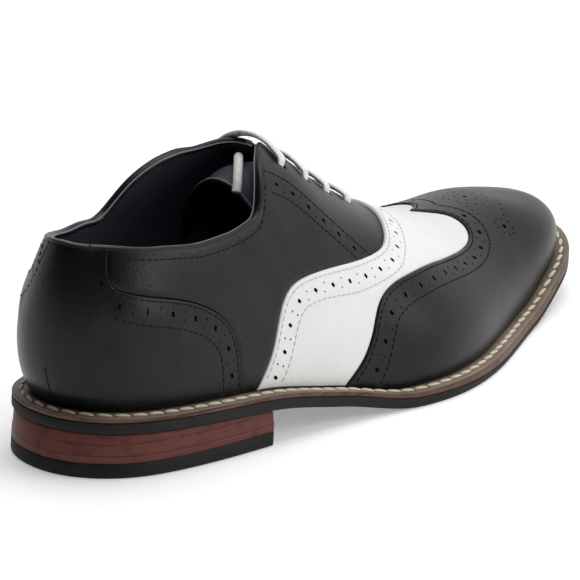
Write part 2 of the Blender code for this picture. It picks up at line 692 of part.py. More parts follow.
def make_lace_bars(material):
    """The straight bars of the lace, each across the throat from hole to hole."""
    height = -FACING_DEPTH + LACE_CLEAR + LACE_RADIUS
    for number, (share, down) in enumerate(LACE_HOLES, 1):
        across = np.linspace(-down, down, 11)
        route = skin_point(share, across, height)
        make_cord("lace_bar_" + str(number), route, material)


def make_lace_end(material):
    """The lace's free end, through its route's own points on one smooth curve."""
    route = np.asarray(LACE_END)
    knots = np.concatenate([[0], np.cumsum(np.linalg.norm(np.diff(route, axis=0), axis=1))])
    spread = np.linspace(0, knots[-1], 13)
    table = np.column_stack([knots, route])
    smooth = np.stack([smooth_column(table, k, spread) for k in (1, 2, 3)], -1)
    make_cord("lace_end", smooth, material)


def main():
    black = leather("black_leather", (0.020, 0.021, 0.024), 0.38)
    white = leather("white_leather", (0.80, 0.80, 0.79), 0.42)
    lining = leather("lining", (0.012, 0.012, 0.018), 0.70)
    rubber = leather("rubber", (0.022, 0.022, 0.022), 0.60)
    stack = leather("heel_stack", (0.14, 0.045, 0.035), 0.40)
    edge = leather("welt_edge", (0.16, 0.11, 0.08), 0.55)
    lace = leather("lace_cotton", (0.78, 0.77, 0.74), 0.80)
    welt_inset = WELT_SHELF + FACING_DEPTH + WALL + GAP
    insole_inset = welt_inset + 2 * GAP
    make_plate("heel_lift", HEEL_INSET, lambda x: 0.0, lambda x: LIFT_THICK - GAP, rubber, HEEL_LENGTH)
    make_plate("heel_stack", HEEL_INSET, lambda x: LIFT_THICK, lambda x: underside(x) - GAP, stack,
               HEEL_LENGTH)
    make_plate("outsole", 0.0, underside, lambda x: underside(x) + OUTSOLE_THICK - GAP, rubber)
    make_welt(welt_inset, edge)
    make_plate("insole", insole_inset, lambda x: underside(x) + OUTSOLE_THICK,
               lambda x: welt_top(x) + INSOLE_RISE, lining)
    make_upper(black)
    for side in SIDES:
        make_quarter(side, black)
    make_counter(black)
    make_vamp(white)
    make_wing(black)
    make_tongue(black)
    make_lace_bars(lace)
    make_lace_end(lace)


main()
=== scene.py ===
"""Studio scene of a right spectator shoe: a black and white wingtip oxford on a stacked heel."""

import bpy
import numpy as np
from mathutils import Matrix, Vector, geometry, kdtree


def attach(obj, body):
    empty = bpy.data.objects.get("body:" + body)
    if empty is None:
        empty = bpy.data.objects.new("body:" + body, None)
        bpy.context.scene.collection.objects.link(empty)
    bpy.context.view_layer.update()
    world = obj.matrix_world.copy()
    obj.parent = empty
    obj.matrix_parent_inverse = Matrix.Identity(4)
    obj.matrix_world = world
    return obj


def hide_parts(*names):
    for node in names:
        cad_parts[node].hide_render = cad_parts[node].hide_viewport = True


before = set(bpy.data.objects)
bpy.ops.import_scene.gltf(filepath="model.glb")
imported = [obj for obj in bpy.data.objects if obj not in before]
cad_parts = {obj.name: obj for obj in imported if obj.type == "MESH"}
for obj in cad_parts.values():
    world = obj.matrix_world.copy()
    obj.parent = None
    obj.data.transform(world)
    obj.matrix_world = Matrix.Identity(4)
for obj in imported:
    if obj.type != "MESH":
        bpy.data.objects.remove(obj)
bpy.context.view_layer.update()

# Driving sizes, in metres
LENGTH = 0.302            # outsole, heel to toe
SOLE_WIDTH = 0.107        # outsole across the ball
INSTEP_HEIGHT = 0.110     # top of the last above the ground
HEEL_RISE = 0.0166        # underside of the outsole above the ground, at the heel's back
TOE_SPRING = 0.0140       # underside of the outsole above the ground, at the toe
HEEL_LENGTH = 0.0745      # heel's back to its breast
LIFT_THICK = 0.0057       # rubber top piece under the heel
OUTSOLE_THICK = 0.0042
WELT_THICK = 0.0018
WELT_SHELF = 0.0065       # width of welt that shows outside the upper
GAP = 0.0003              # clearance between neighbouring pieces
WALL = 0.0018             # leather and lining of the upper
FACING_DEPTH = 0.0016     # upper's outer face below the last's surface
QUARTER_RISE = 0.0        # outer faces of the overlays above the last's surface
VAMP_RISE = 0.0003
COUNTER_RISE = 0.0004
WING_RISE = 0.0009
THROAT_HALF = 0.0026      # half the gap between the two facings
TONGUE_THICK = 0.0016
TONGUE_CLEAR = 0.0007     # tongue below the upper's lining
LACE_RADIUS = 0.00165
HEEL_INSET = 0.0003       # heel pieces inside the outsole's edge

# Outline of the sole: share of the length from the heel's back, and share of the width,
# lateral side above 0
OUTLINE = [
    # along, side
    (0.000, 0.000), (0.035, 0.187), (0.120, 0.305), (0.250, 0.381), (0.400, 0.461),
    (0.520, 0.544), (0.640, 0.510), (0.760, 0.397), (0.870, 0.305), (0.955, 0.197),
    (1.000, 0.013), (0.955, -0.258), (0.870, -0.374), (0.760, -0.441), (0.660, -0.460),
    (0.520, -0.374), (0.400, -0.296), (0.250, -0.320), (0.120, -0.310), (0.035, -0.240)]

# Underside of the outsole: share of the length, share of the heel rise, share of the toe spring
UNDERSIDE = [
    # along, heel, toe
    (0.000, 1.000, 0.000), (0.120, 0.915, 0.000), (0.245, 0.790, 0.000), (0.360, 0.415, 0.000),
    (0.480, 0.000, 0.000), (0.720, 0.000, 0.000), (0.800, 0.000, 0.080), (0.900, 0.000, 0.590),
    (1.000, 0.000, 1.000)]

# Sections of the last from the heel's back to the toe, one row each. share: of the half outline's
# length. ridge_x, ridge_z: where the section meets the top line, shares of length and instep height.
# lean: how far the wall is pulled outwards, share of the length. rise: how high that pull acts, share
# of the instep height. crown: half breadth of the rounded top, share of the length. fall: how far the
# crown's edge lies below the top line, share of the instep height. _l lateral, _m medial.
SECTIONS = [
    # share, ridge_x, ridge_z, lean_l, lean_m, rise_l, rise_m, crown_l, crown_m, fall
    (0.000, 0.066, 1.000, 0.054, 0.054, 0.240, 0.240, 0.038, 0.038, 0.160),
    (0.090, 0.100, 1.005, 0.034, 0.050, 0.250, 0.240, 0.056, 0.058, 0.110),
    (0.155, 0.148, 1.008, 0.021, 0.038, 0.280, 0.270, 0.071, 0.073, 0.060),
    (0.220, 0.205, 1.002, 0.012, 0.026, 0.300, 0.300, 0.080, 0.082, 0.020),
    (0.280, 0.265, 0.975, 0.004, 0.016, 0.320, 0.320, 0.084, 0.084, 0.006),
    (0.333, 0.320, 0.925, 0.000, 0.012, 0.330, 0.330, 0.080, 0.082, 0.000),
    (0.382, 0.375, 0.858, 0.000, 0.010, 0.330, 0.330, 0.076, 0.080, 0.000),
    (0.433, 0.430, 0.757, 0.002, 0.008, 0.290, 0.290, 0.074, 0.078, 0.000),
    (0.517, 0.520, 0.606, 0.010, 0.010, 0.230, 0.230, 0.076, 0.078, 0.000),
    (0.585, 0.590, 0.509, 0.012, 0.012, 0.190, 0.190, 0.082, 0.082, 0.000),
    (0.653, 0.660, 0.430, 0.012, 0.012, 0.160, 0.160, 0.085, 0.085, 0.000),
    (0.750, 0.750, 0.377, 0.012, 0.012, 0.130, 0.130, 0.090, 0.090, 0.000),
    (0.840, 0.825, 0.363, 0.012, 0.012, 0.120, 0.120, 0.080, 0.088, 0.000),
    (0.925, 0.868, 0.348, 0.012, 0.012, 0.115, 0.115, 0.068, 0.074, 0.000),
    (1.000, 0.880, 0.343, 0.012, 0.012, 0.110, 0.110, 0.062, 0.062, 0.000)]

SIDES = ("lateral", "medial")
SPAN_STEPS = 24


def unit(vectors):
    """The same vectors at length 1."""
    return vectors / np.maximum(np.linalg.norm(vectors, axis=-1, keepdims=True), 1e-12)


def spline_bends(knots, values, closed):
    """Second derivatives at the knots of a cubic spline; an open one is level at both ends."""
    count = len(values)
    step = np.diff(knots)
    matrix = np.zeros((count, count))
    right = np.zeros(values.shape)
    for i in range(count):
        if closed or 0 < i:
            before, back = step[i - 1], values[i] - values[i - 1]
            matrix[i, i - 1] += before
            matrix[i, i] += 2 * before
            right[i] -= 6 * back / before
        if closed or i < count - 1:
            after, ahead = step[i], values[(i + 1) % count] - values[i]
            matrix[i, (i + 1) % count] += after
            matrix[i, i] += 2 * after
            right[i] += 6 * ahead / after
    return np.linalg.solve(matrix, right)


def spline_value(step, start, end, bend_start, bend_end, part):
    """Point at a part (0 to 1) of one span of a cubic spline."""
    rest = 1 - part
    bow = (rest ** 3 - rest) * bend_start + (part ** 3 - part) * bend_end
    return rest * start + part * end + step ** 2 / 6 * bow


def closed_spline(points):
    """Points along a smooth closed curve through the given ones, SPAN_STEPS for each span."""
    points = np.asarray(points, float)
    following = np.roll(points, -1, 0)
    knots = np.concatenate([[0], np.cumsum(np.linalg.norm(following - points, axis=1))])
    bends = spline_bends(knots, points, True)
    part = (np.arange(SPAN_STEPS) / SPAN_STEPS)[None, :, None]
    step = np.diff(knots)[:, None, None]
    spans = spline_value(step, points[:, None], following[:, None], bends[:, None],
                         np.roll(bends, -1, 0)[:, None], part)
    return spans.reshape(-1, points.shape[1])


COLUMNS = {}


def column_spline(rows, column):
    """A column's knots, values and bends, kept for the shoe's own tables."""
    key = (id(rows), column)
    if key not in COLUMNS:
        table = np.asarray(rows, float)
        found = table[:, 0], table[:, column], spline_bends(table[:, 0], table[:, column], False)
        if not isinstance(rows, list):
            return found
        COLUMNS[key] = found
    return COLUMNS[key]


def smooth_column(rows, column, at):
    """A column of a table as a smooth function of the first column, level at both ends."""
    knots, values, bends = column_spline(rows, column)
    at = np.clip(at, knots[0], knots[-1])
    i = np.clip(np.searchsorted(knots, at) - 1, 0, len(knots) - 2)
    step = knots[i + 1] - knots[i]
    return spline_value(step, values[i], values[i + 1], bends[i], bends[i + 1],
                        (at - knots[i]) / step)


def steady_column(rows, column, at):
    """A column of a table as a curve that never passes the values of its rows."""
    table = np.asarray(rows, float)
    knots, values = table[:, 0], table[:, column]
    step = np.diff(knots)
    rate = np.diff(values) / step
    slope = np.zeros(len(knots))
    for i in range(1, len(rate)):
        if rate[i - 1] * rate[i] > 0:
            slope[i] = 2 / (1 / rate[i - 1] + 1 / rate[i])
    slope[0], slope[-1] = rate[0], rate[-1]
    at = np.clip(at, knots[0], knots[-1])
    i = np.clip(np.searchsorted(knots, at) - 1, 0, len(knots) - 2)
    part = (at - knots[i]) / step[i]
    return (values[i] + part * step[i] * slope[i]
            + part ** 2 * (3 * (values[i + 1] - values[i]) - step[i] * (2 * slope[i] + slope[i + 1]))
            + part ** 3 * (2 * (values[i] - values[i + 1]) + step[i] * (slope[i] + slope[i + 1])))


def underside(x):
    """Height of the outsole's underside above the ground."""
    along = np.asarray(x) / LENGTH
    return (HEEL_RISE * steady_column(UNDERSIDE, 1, along)
            + TOE_SPRING * steady_column(UNDERSIDE, 2, along))


def welt_top(x):
    """Height of the welt's upper face."""
    return underside(x) + OUTSOLE_THICK + WELT_THICK


def half_outlines():
    """The sole's edge and its outward directions, from the heel's back to the toe on each side."""
    curve = closed_spline([(along * LENGTH, -side * SOLE_WIDTH) for along, side in OUTLINE])
    curve = np.roll(curve, -np.argmin(curve[:, 0]), 0)
    tangent = unit(np.roll(curve, -1, 0) - np.roll(curve, 1, 0))
    outward = np.stack([tangent[:, 1], -tangent[:, 0]], -1)
    toe = np.argmax(curve[:, 0])
    back = np.concatenate([[0], np.arange(len(curve) - 1, toe - 1, -1)])
    halves = {}
    for side, index in (("lateral", np.arange(toe + 1)), ("medial", back)):
        line = curve[index]
        run = np.concatenate([[0], np.cumsum(np.linalg.norm(np.diff(line, axis=0), axis=1))])
        halves[side] = (run / run[-1], line, outward[index])
    return halves


HALVES = half_outlines()


def edge_point(side, share, inset):
    """Point of the sole's outline moved inwards, and the outward direction there."""
    run, line, outward = HALVES[side]
    place = np.stack([np.interp(share, run, line[:, k]) for k in (0, 1)], -1)
    out = unit(np.stack([np.interp(share, run, outward[:, k]) for k in (0, 1)], -1))
    return place - out * inset, out


RIDGE_SAMPLES = np.linspace(0.02, 0.98, 193)
RIDGE_X = smooth_column(SECTIONS, 1, RIDGE_SAMPLES) * LENGTH
RIDGE_SLOPE = np.gradient(smooth_column(SECTIONS, 2, RIDGE_SAMPLES) * INSTEP_HEIGHT, RIDGE_X)


def ridge_line(share):
    """The last's top line: its point and its slope along the shoe."""
    x = smooth_column(SECTIONS, 1, share) * LENGTH
    z = smooth_column(SECTIONS, 2, share) * INSTEP_HEIGHT
    return np.stack([x, np.zeros_like(x), z], -1), np.interp(x, RIDGE_X, RIDGE_SLOPE)


def last_point(share, across):
    """Point of the last. share: along the half outline, 0 heel to 1 toe. across: -1 at the lateral
    feather edge, 0 on the top line, 1 at the medial feather edge."""
    share, across = np.broadcast_arrays(np.asarray(share, float), np.asarray(across, float))
    ridge, slope = ridge_line(share)
    result = np.zeros(share.shape + (3,))
    for k, side in enumerate(SIDES):
        place, out = edge_point(side, share, WELT_SHELF)
        foot = np.concatenate([place, (welt_top(place[..., 0]) + GAP)[..., None]], -1)
        lean = (smooth_column(SECTIONS, 3 + k, share) * LENGTH)[..., None]
        rise = (smooth_column(SECTIONS, 5 + k, share) * INSTEP_HEIGHT)[..., None]
        crown = (smooth_column(SECTIONS, 7 + k, share) * LENGTH)[..., None]
        fall = smooth_column(SECTIONS, 9, share) * INSTEP_HEIGHT
        pull = foot + np.concatenate([out * lean, rise], -1)
        flat = unit(place - ridge[..., :2])
        edge = ridge + crown * np.concatenate([flat, (slope * flat[..., 0])[..., None]], -1)
        edge[..., 2] -= fall
        t = (1 - np.abs(across))[..., None]
        s = 1 - t
        profile = s ** 3 * foot + 3 * s * s * t * pull + 3 * s * t * t * edge + t ** 3 * ridge
        chosen = across <= 0 if side == "lateral" else across > 0
        result[chosen] = profile[chosen]
    return result


# The collar's edge: share along the half outline, and how far down from the top line it lies
TOPLINE = [
    # share, lateral, medial
    (0.000, 0.378, 0.378), (0.060, 0.397, 0.415), (0.116, 0.449, 0.475), (0.150, 0.476, 0.509),
    (0.186, 0.501, 0.526), (0.217, 0.506, 0.530), (0.249, 0.501, 0.440), (0.270, 0.486, 0.387),
    (0.286, 0.458, 0.352), (0.302, 0.377, 0.322), (0.317, 0.296, 0.294), (0.342, 0.187, 0.240),
    (0.361, 0.111, 0.150), (0.385, 0.040, 0.040)]
THROAT_TOP = 0.385        # share where collar and throat meet
THROAT_END = 0.578        # share where the facings meet

# Seams of the pattern, the same on both sides: share along the half outline, and down from the top line
WING_EDGE = [
    # share, down
    (0.698, 0.000), (0.724, 0.050), (0.738, 0.105), (0.738, 0.180), (0.727, 0.266), (0.712, 0.326),
    (0.676, 0.390), (0.615, 0.447), (0.558, 0.499), (0.516, 0.549), (0.481, 0.600), (0.456, 0.659),
    (0.441, 0.724), (0.430, 0.802), (0.420, 0.868), (0.407, 0.934), (0.390, 1.000)]
VAMP_EDGE = [
    # share, down
    (0.578, 0.000), (0.572, 0.073), (0.561, 0.173), (0.540, 0.279), (0.520, 0.362), (0.494, 0.444),
    (0.467, 0.495), (0.440, 0.540), (0.416, 0.579), (0.379, 0.628), (0.337, 0.665), (0.320, 0.688),
    (0.307, 0.724), (0.299, 0.765), (0.291, 0.831), (0.283, 0.898), (0.264, 1.000)]
SEAM_ROW = 6              # row of the vamp edge where the facing seam ends
FACING_SEAM = [
    # share, down
    (0.320, 0.287), (0.334, 0.291), (0.375, 0.353), (0.402, 0.400), (0.430, 0.435), (0.467, 0.495)]
COUNTER_EDGE = [
    # share, down
    (0.060, 0.397), (0.063, 0.514), (0.080, 0.556), (0.111, 0.594), (0.171, 0.663), (0.213, 0.743),
    (0.233, 0.848), (0.240, 1.000)]

# Tongue: share, half breadth down from the top line, and how far it sags, share of the instep height
TONGUE = [
    # share, half, sag
    (0.325, 0.335, 0.135), (0.345, 0.340, 0.098), (0.370, 0.325, 0.060), (0.400, 0.310, 0.026),
    (0.440, 0.300, 0.005), (0.520, 0.270, 0.000), (0.600, 0.200, 0.000)]

# Lace holes: share along the half outline, and down from the top line
LACE_HOLES = [
    # share, down
    (0.372, 0.225), (0.419, 0.215), (0.467, 0.185), (0.514, 0.160)]

# Free end of the lace inside the shoe, resting on the tongue: x from the heel's back, y to the
# medial side, z above the ground
LACE_END = [
    (0.1138, 0.0078, 0.0848), (0.1128, 0.0070, 0.0855), (0.1118, 0.0063, 0.0862),
    (0.1103, 0.0052, 0.0870), (0.1075, 0.0033, 0.0881), (0.1045, 0.0012, 0.0885),
    (0.1015, -0.0010, 0.0884), (0.0980, -0.0035, 0.0874), (0.0950, -0.0056, 0.0861),
    (0.0934, -0.0067, 0.0851), (0.0918, -0.0078, 0.0837), (0.0904, -0.0086, 0.0817)]

PROBE = 1e-4              # step of share and across when a direction is measured


def centre_of_sole():
    """Middle of the sole's outline in plan."""
    corners = np.vstack([HALVES[side][1] for side in SIDES])
    return (corners.min(0) + corners.max(0)) / 2


ORIGIN = np.append(centre_of_sole(), 0.0)


def surface_normal(share, across):
    """Outward direction of the last's surface."""
    before, after = np.maximum(share - PROBE, 0), np.minimum(share + PROBE, 1)
    low, high = np.maximum(across - PROBE, -1), np.minimum(across + PROBE, 1)
    along = last_point(after, across) - last_point(before, across)
    around = last_point(share, high) - last_point(share, low)
    normal = unit(np.cross(along, around))
    slope = ridge_line(share)[1]
    top = unit(np.stack([-slope, np.zeros_like(slope), np.ones_like(slope)], -1))
    return np.where(np.abs(across)[..., None] < 2 * PROBE, top, normal)


def skin_point(share, across, height):
    """Point at a height above the last's surface, never below the welt's upper face."""
    share, across = np.broadcast_arrays(np.asarray(share, float), np.asarray(across, float))
    normal = surface_normal(share, across)
    for side, hem in (("lateral", across <= -1), ("medial", across >= 1)):
        level = np.concatenate([edge_point(side, share, 0)[1], np.zeros(share.shape + (1,))], -1)
        normal = np.where(hem[..., None], level, normal)
    height = np.broadcast_to(np.asarray(height, float), share.shape)
    point = last_point(share, across) + normal * height[..., None]
    seat = welt_top(point[..., 0]) + GAP
    point[..., 2] = np.where(np.abs(across) >= 1, seat, np.maximum(point[..., 2], seat))
    return point


def collar_down(share, side):
    """How far down from the top line the upper's free edge lies: collar, then throat, then none."""
    column = 1 + SIDES.index(side)
    crown = smooth_column(SECTIONS, 6 + column, share) * LENGTH
    throat = THROAT_HALF / (3 * crown)
    collar = smooth_column(TOPLINE, column, share)
    open_part = np.where(share < THROAT_TOP, np.maximum(collar, throat), throat)
    return np.where(share < THROAT_END, open_part, 0.0)


def signed(line, side):
    """Pairs of share and down as pairs of share and across."""
    line = np.array(line, float)
    line[:, 1] *= -1 if side == "lateral" else 1
    return line


ARC_SHARES = 401
ARC_LEVELS = 81


def arc_table(sign):
    """Length on the skin from the top line, for each share and each way down."""
    share = np.linspace(0, 1, ARC_SHARES)[:, None]
    run = last_point(share, sign * np.linspace(0, 1, ARC_LEVELS)[None, :])
    steps = np.linalg.norm(np.diff(run, axis=1), axis=2)
    return np.concatenate([np.zeros((ARC_SHARES, 1)), np.cumsum(steps, axis=1)], 1)


ARCS = np.stack([arc_table(-1.0), arc_table(1.0)])


def arc_length(share, across):
    """Length on the skin from the top line to a place."""
    row, column = share * (ARC_SHARES - 1), np.abs(across) * (ARC_LEVELS - 1)
    i = np.clip(row.astype(int), 0, ARC_SHARES - 2)
    j = np.clip(column.astype(int), 0, ARC_LEVELS - 2)
    u, v = row - i, column - j
    table = (across > 0).astype(int)
    low = ARCS[table, i, j] * (1 - v) + ARCS[table, i, j + 1] * v
    high = ARCS[table, i + 1, j] * (1 - v) + ARCS[table, i + 1, j + 1] * v
    return low * (1 - u) + high * u


def flat_pattern(places):
    """Each place of the last laid out flat: from the top line outwards by its length on the skin."""
    share, across = places[:, 0], places[:, 1]
    sign = np.where(across > 0, 1.0, -1.0)
    ridge = ridge_line(share)[0][:, :2]
    foot = np.zeros_like(ridge)
    outward = np.zeros_like(ridge)
    for side, chosen in (("lateral", across <= 0), ("medial", across > 0)):
        foot[chosen], outward[chosen] = edge_point(side, share[chosen], WELT_SHELF)
    spare = arc_length(share, sign) - np.linalg.norm(foot - ridge, axis=1)
    direction = unit(foot + outward * spare[:, None] - ridge)
    return ridge + direction * arc_length(share, across)[:, None]


def inside(outline, spots):
    """Which of the spots lie inside a closed outline."""
    start, end = outline, np.roll(outline, -1, 0)
    x, y = spots[:, :1], spots[:, 1:]
    crossing = (start[:, 1] > y) != (end[:, 1] > y)
    rise = np.where(end[:, 1] == start[:, 1], 1e-12, end[:, 1] - start[:, 1])
    at = start[:, 0] + (y - start[:, 1]) / rise * (end[:, 0] - start[:, 0])
    return (crossing & (x < at)).sum(1) % 2 == 1


# Finer sizes of what the camera sees, in metres
PANEL_STEP = 0.0019       # spacing of a panel's points
EDGE_STEP = 0.0012        # spacing of points along a panel's edge
EDGE_ROUND = 0.0005       # rounding of a panel's edge
FACING_TOP = -0.0010      # heights above the last's surface
FACING_FLOOR = -0.0019
PANEL_FLOOR = -0.0009
WALL_OUTER = -0.0020
WALL_INNER = -FACING_DEPTH - WALL
LARGE_HOLE = 0.00100      # radii of the punched holes
SMALL_HOLE = 0.00042
LACE_HOLE = 0.0019
HOLE_DEPTH = 0.0007
GROOVE = 0.00030          # depth of the groove a row of stitches pulls into the leather
GROOVE_HALF = 0.00055
FINE = 2e-4               # step of share and across when a slope is measured

# Soft troughs and ridges of the leather: ends as share and down, height (ridges above 0) and half width in
# metres
FOLDS = {
    "lateral": [
        # share, down, share, down, height, half
        (0.640, 0.060, 0.600, 0.420, -0.00035, 0.0040),
        (0.665, 0.080, 0.640, 0.400, 0.00022, 0.0036),
        (0.690, 0.060, 0.672, 0.360, -0.00020, 0.0034),
        (0.075, 0.640, 0.150, 0.715, 0.00050, 0.0050),
        (0.060, 0.700, 0.130, 0.800, -0.00045, 0.0070),
        (0.245, 0.560, 0.285, 0.700, -0.00035, 0.0060),
        (0.300, 0.420, 0.330, 0.560, 0.00025, 0.0060)],
    "medial": [
        (0.635, 0.060, 0.605, 0.440, -0.00032, 0.0040),
        (0.662, 0.070, 0.645, 0.420, 0.00022, 0.0036),
        (0.070, 0.650, 0.160, 0.730, 0.00045, 0.0055),
        (0.240, 0.560, 0.280, 0.720, -0.00035, 0.0060),
        (0.300, 0.430, 0.340, 0.580, 0.00025, 0.0060)]}


def set_material(name, colour, roughness, coat=0.0, coat_roughness=0.2, specular=0.5, sheen=0.0):
    """A material with its constants on the shader's own sockets, and its node tree for more."""
    material = bpy.data.materials.new(name)
    material.use_nodes = True
    tree = material.node_tree
    shader = tree.nodes["Principled BSDF"]
    shader.inputs["Base Color"].default_value = (*colour, 1.0)
    shader.inputs["Roughness"].default_value = roughness
    shader.inputs["Coat Weight"].default_value = coat
    shader.inputs["Coat Roughness"].default_value = coat_roughness
    shader.inputs["Specular IOR Level"].default_value = specular
    shader.inputs["Sheen Weight"].default_value = sheen
    return material, tree, shader


def add_node(tree, kind, links=(), **values):
    """A node with its values set and its inputs joined."""
    node = tree.nodes.new(kind)
    for key, value in values.items():
        if hasattr(node, key):
            setattr(node, key, value)
        else:
            node.inputs[key.replace("_", " ")].default_value = value
    for socket, source in links:
        tree.links.new(source, node.inputs[socket])
    return node


def ramp(tree, source, low, high, low_at=0.0, high_at=1.0):
    """A blend of two colours over a source's range."""
    node = tree.nodes.new("ShaderNodeValToRGB")
    first, last = node.color_ramp.elements
    first.position, last.position = low_at, high_at
    first.color, last.color = (*low, 1.0), (*high, 1.0)
    tree.links.new(source, node.inputs[0])
    return node.outputs["Color"]


def spread(tree, source, low, high, low_at=0.0, high_at=1.0):
    """A source's range turned into another range."""
    node = add_node(tree, "ShaderNodeMapRange", [("Value", source)])
    for key, value in (("From Min", low_at), ("From Max", high_at), ("To Min", low), ("To Max", high)):
        node.inputs[key].default_value = value
    return node.outputs["Result"]


def bump(tree, shader, layers):
    """Relief from several sources, each a pair of height socket and depth in metres."""
    normal = None
    for source, depth in layers:
        node = add_node(tree, "ShaderNodeBump", [("Height", source)], Strength=1.0, Distance=depth)
        if normal:
            tree.links.new(normal, node.inputs["Normal"])
        normal = node.outputs["Normal"]
    tree.links.new(normal, shader.inputs["Normal"])


def leather_material(name, dark, light, roughness, coat, specular, pores=0.00005):
    """Smooth calf: fine pores and wrinkles, a soft wax coat, and slight changes of tone and gloss."""
    material, tree, shader = set_material(name, light, roughness, coat, 0.28, specular)
    place = tree.nodes.new("ShaderNodeTexCoord").outputs["Object"]
    pore = add_node(tree, "ShaderNodeTexVoronoi", [("Vector", place)], Scale=1500.0)
    grain = add_node(tree, "ShaderNodeTexNoise", [("Vector", place)], Scale=900.0, Detail=4.0)
    cloud = add_node(tree, "ShaderNodeTexNoise", [("Vector", place)], Scale=45.0, Detail=3.0)
    tone = ramp(tree, cloud.outputs["Fac"], dark, light, 0.35, 0.65)
    tree.links.new(tone, shader.inputs["Base Color"])
    gloss = spread(tree, cloud.outputs["Fac"], roughness - 0.04, roughness + 0.05, 0.3, 0.7)
    tree.links.new(gloss, shader.inputs["Roughness"])
    bump(tree, shader, [(cloud.outputs["Fac"], 0.00012), (grain.outputs["Fac"], pores),
                        (pore.outputs["Distance"], pores)])
    return material


def woven_material(name, colour, scale, depth, roughness=0.85, sheen=0.15):
    """A woven or braided yarn, worked out from the surface's own position."""
    material, tree, shader = set_material(name, colour, roughness, specular=0.3, sheen=sheen)
    place = tree.nodes.new("ShaderNodeTexCoord").outputs["Object"]
    weave = add_node(tree, "ShaderNodeTexVoronoi", [("Vector", place)], Scale=scale)
    fibre = add_node(tree, "ShaderNodeTexNoise", [("Vector", place)], Scale=scale * 1.7, Detail=3.0)
    dark = tuple(0.72 * part for part in colour)
    tone = ramp(tree, weave.outputs["Distance"], colour, dark, 0.25, 0.75)
    tree.links.new(tone, shader.inputs["Base Color"])
    bump(tree, shader, [(weave.outputs["Distance"], -depth), (fibre.outputs["Fac"], depth * 0.5)])
    return material


def rubber_material(name, colour):
    """Matt moulded rubber with a fine tooth and faint scuffs."""
    material, tree, shader = set_material(name, colour, 0.62, specular=0.2)
    place = tree.nodes.new("ShaderNodeTexCoord").outputs["Object"]
    tooth = add_node(tree, "ShaderNodeTexNoise", [("Vector", place)], Scale=1400.0, Detail=3.0)
    scuff = add_node(tree, "ShaderNodeTexNoise", [("Vector", place)], Scale=120.0, Detail=5.0)
    tone = ramp(tree, scuff.outputs["Fac"], tuple(0.8 * part for part in colour),
                tuple(1.3 * part for part in colour), 0.35, 0.7)
    tree.links.new(tone, shader.inputs["Base Color"])
    bump(tree, shader, [(tooth.outputs["Fac"], 0.00006)])
    return material


def layered_material(name, dark, light, layer, roughness, depth):
    """Leather or wood seen on its edge: fine level fibres, in layers a set height apart."""
    material, tree, shader = set_material(name, light, roughness, specular=0.10)
    place = tree.nodes.new("ShaderNodeTexCoord").outputs["Object"]
    squash = add_node(tree, "ShaderNodeMapping", [("Vector", place)])
    squash.inputs["Scale"].default_value = (90.0, 90.0, 2600.0)
    fibre = add_node(tree, "ShaderNodeTexNoise", [("Vector", squash.outputs["Vector"])], Scale=1.0,
                     Detail=5.0)
    cloud = add_node(tree, "ShaderNodeTexNoise", [("Vector", place)], Scale=160.0, Detail=3.0)
    height = add_node(tree, "ShaderNodeSeparateXYZ", [("Vector", place)]).outputs["Z"]
    turns = add_node(tree, "ShaderNodeMath", [(0, height)], operation="MULTIPLY")
    turns.inputs[1].default_value = 1.0 / layer
    part = add_node(tree, "ShaderNodeMath", [(0, turns.outputs[0])], operation="FRACT").outputs[0]
    seam = spread(tree, part, 0.0, 1.0, 0.0, 0.10)
    tone = add_node(tree, "ShaderNodeMath", [(0, fibre.outputs["Fac"]), (1, cloud.outputs["Fac"])],
                    operation="ADD")
    colour = ramp(tree, tone.outputs[0], dark, light, 0.75, 1.25)
    mix = add_node(tree, "ShaderNodeMix", [("Factor", seam), (7, colour)], data_type="RGBA")
    mix.inputs[6].default_value = (*(0.45 * part for part in dark), 1.0)
    tree.links.new(mix.outputs[2], shader.inputs["Base Color"])
    bump(tree, shader, [(fibre.outputs["Fac"], depth), (seam, depth * 1.5)])
    return material


MATERIALS = {
    "black": leather_material("black_calf", (0.0024, 0.0025, 0.0034), (0.0036, 0.0037, 0.0050), 0.32, 0.0,
                              0.24),
    "white": leather_material("white_calf", (0.735, 0.735, 0.722), (0.775, 0.775, 0.762), 0.46, 0.0, 0.30,
                              0.00003),
    "lining": leather_material("lining_leather", (0.034, 0.036, 0.052), (0.042, 0.044, 0.063), 0.62,
                               0.0, 0.30),
    "hole": set_material("hole_shadow", (0.004, 0.004, 0.005), 0.9, specular=0.1)[0],
    "black_thread": woven_material("black_thread", (0.0022, 0.0022, 0.0026), 3500.0, 0.00004, 0.9, 0.0),
    "white_thread": woven_material("white_thread", (0.68, 0.68, 0.67), 3500.0, 0.00004, 0.9, 0.0),
    "welt_thread": woven_material("welt_thread", (0.80, 0.71, 0.56), 3000.0, 0.00008),
    # pale grey cord on top of the collar roll and the tongue's binding: a painted highlight along those
    # edges
    "rim": woven_material("painted_edge_highlight", (0.30, 0.30, 0.31), 2600.0, 0.00004),
    "lace": woven_material("waxed_lace", (0.88, 0.865, 0.835), 1900.0, 0.00012, 0.7),
    "welt_top": leather_material("welt_leather", (0.135, 0.105, 0.068), (0.215, 0.175, 0.120), 0.55, 0.05,
                                 0.40, 0.00008),
    "welt_edge": layered_material("welt_side", (0.062, 0.032, 0.026), (0.125, 0.068, 0.054), 0.01, 0.5,
                                  0.00005),
    "stack": layered_material("stacked_heel", (0.082, 0.025, 0.020), (0.128, 0.044, 0.036), 0.0041, 0.42,
                              0.00008),
    "rubber": rubber_material("sole_rubber", (0.009, 0.010, 0.009)),
    "lift": rubber_material("lift_rubber", (0.007, 0.008, 0.007))}


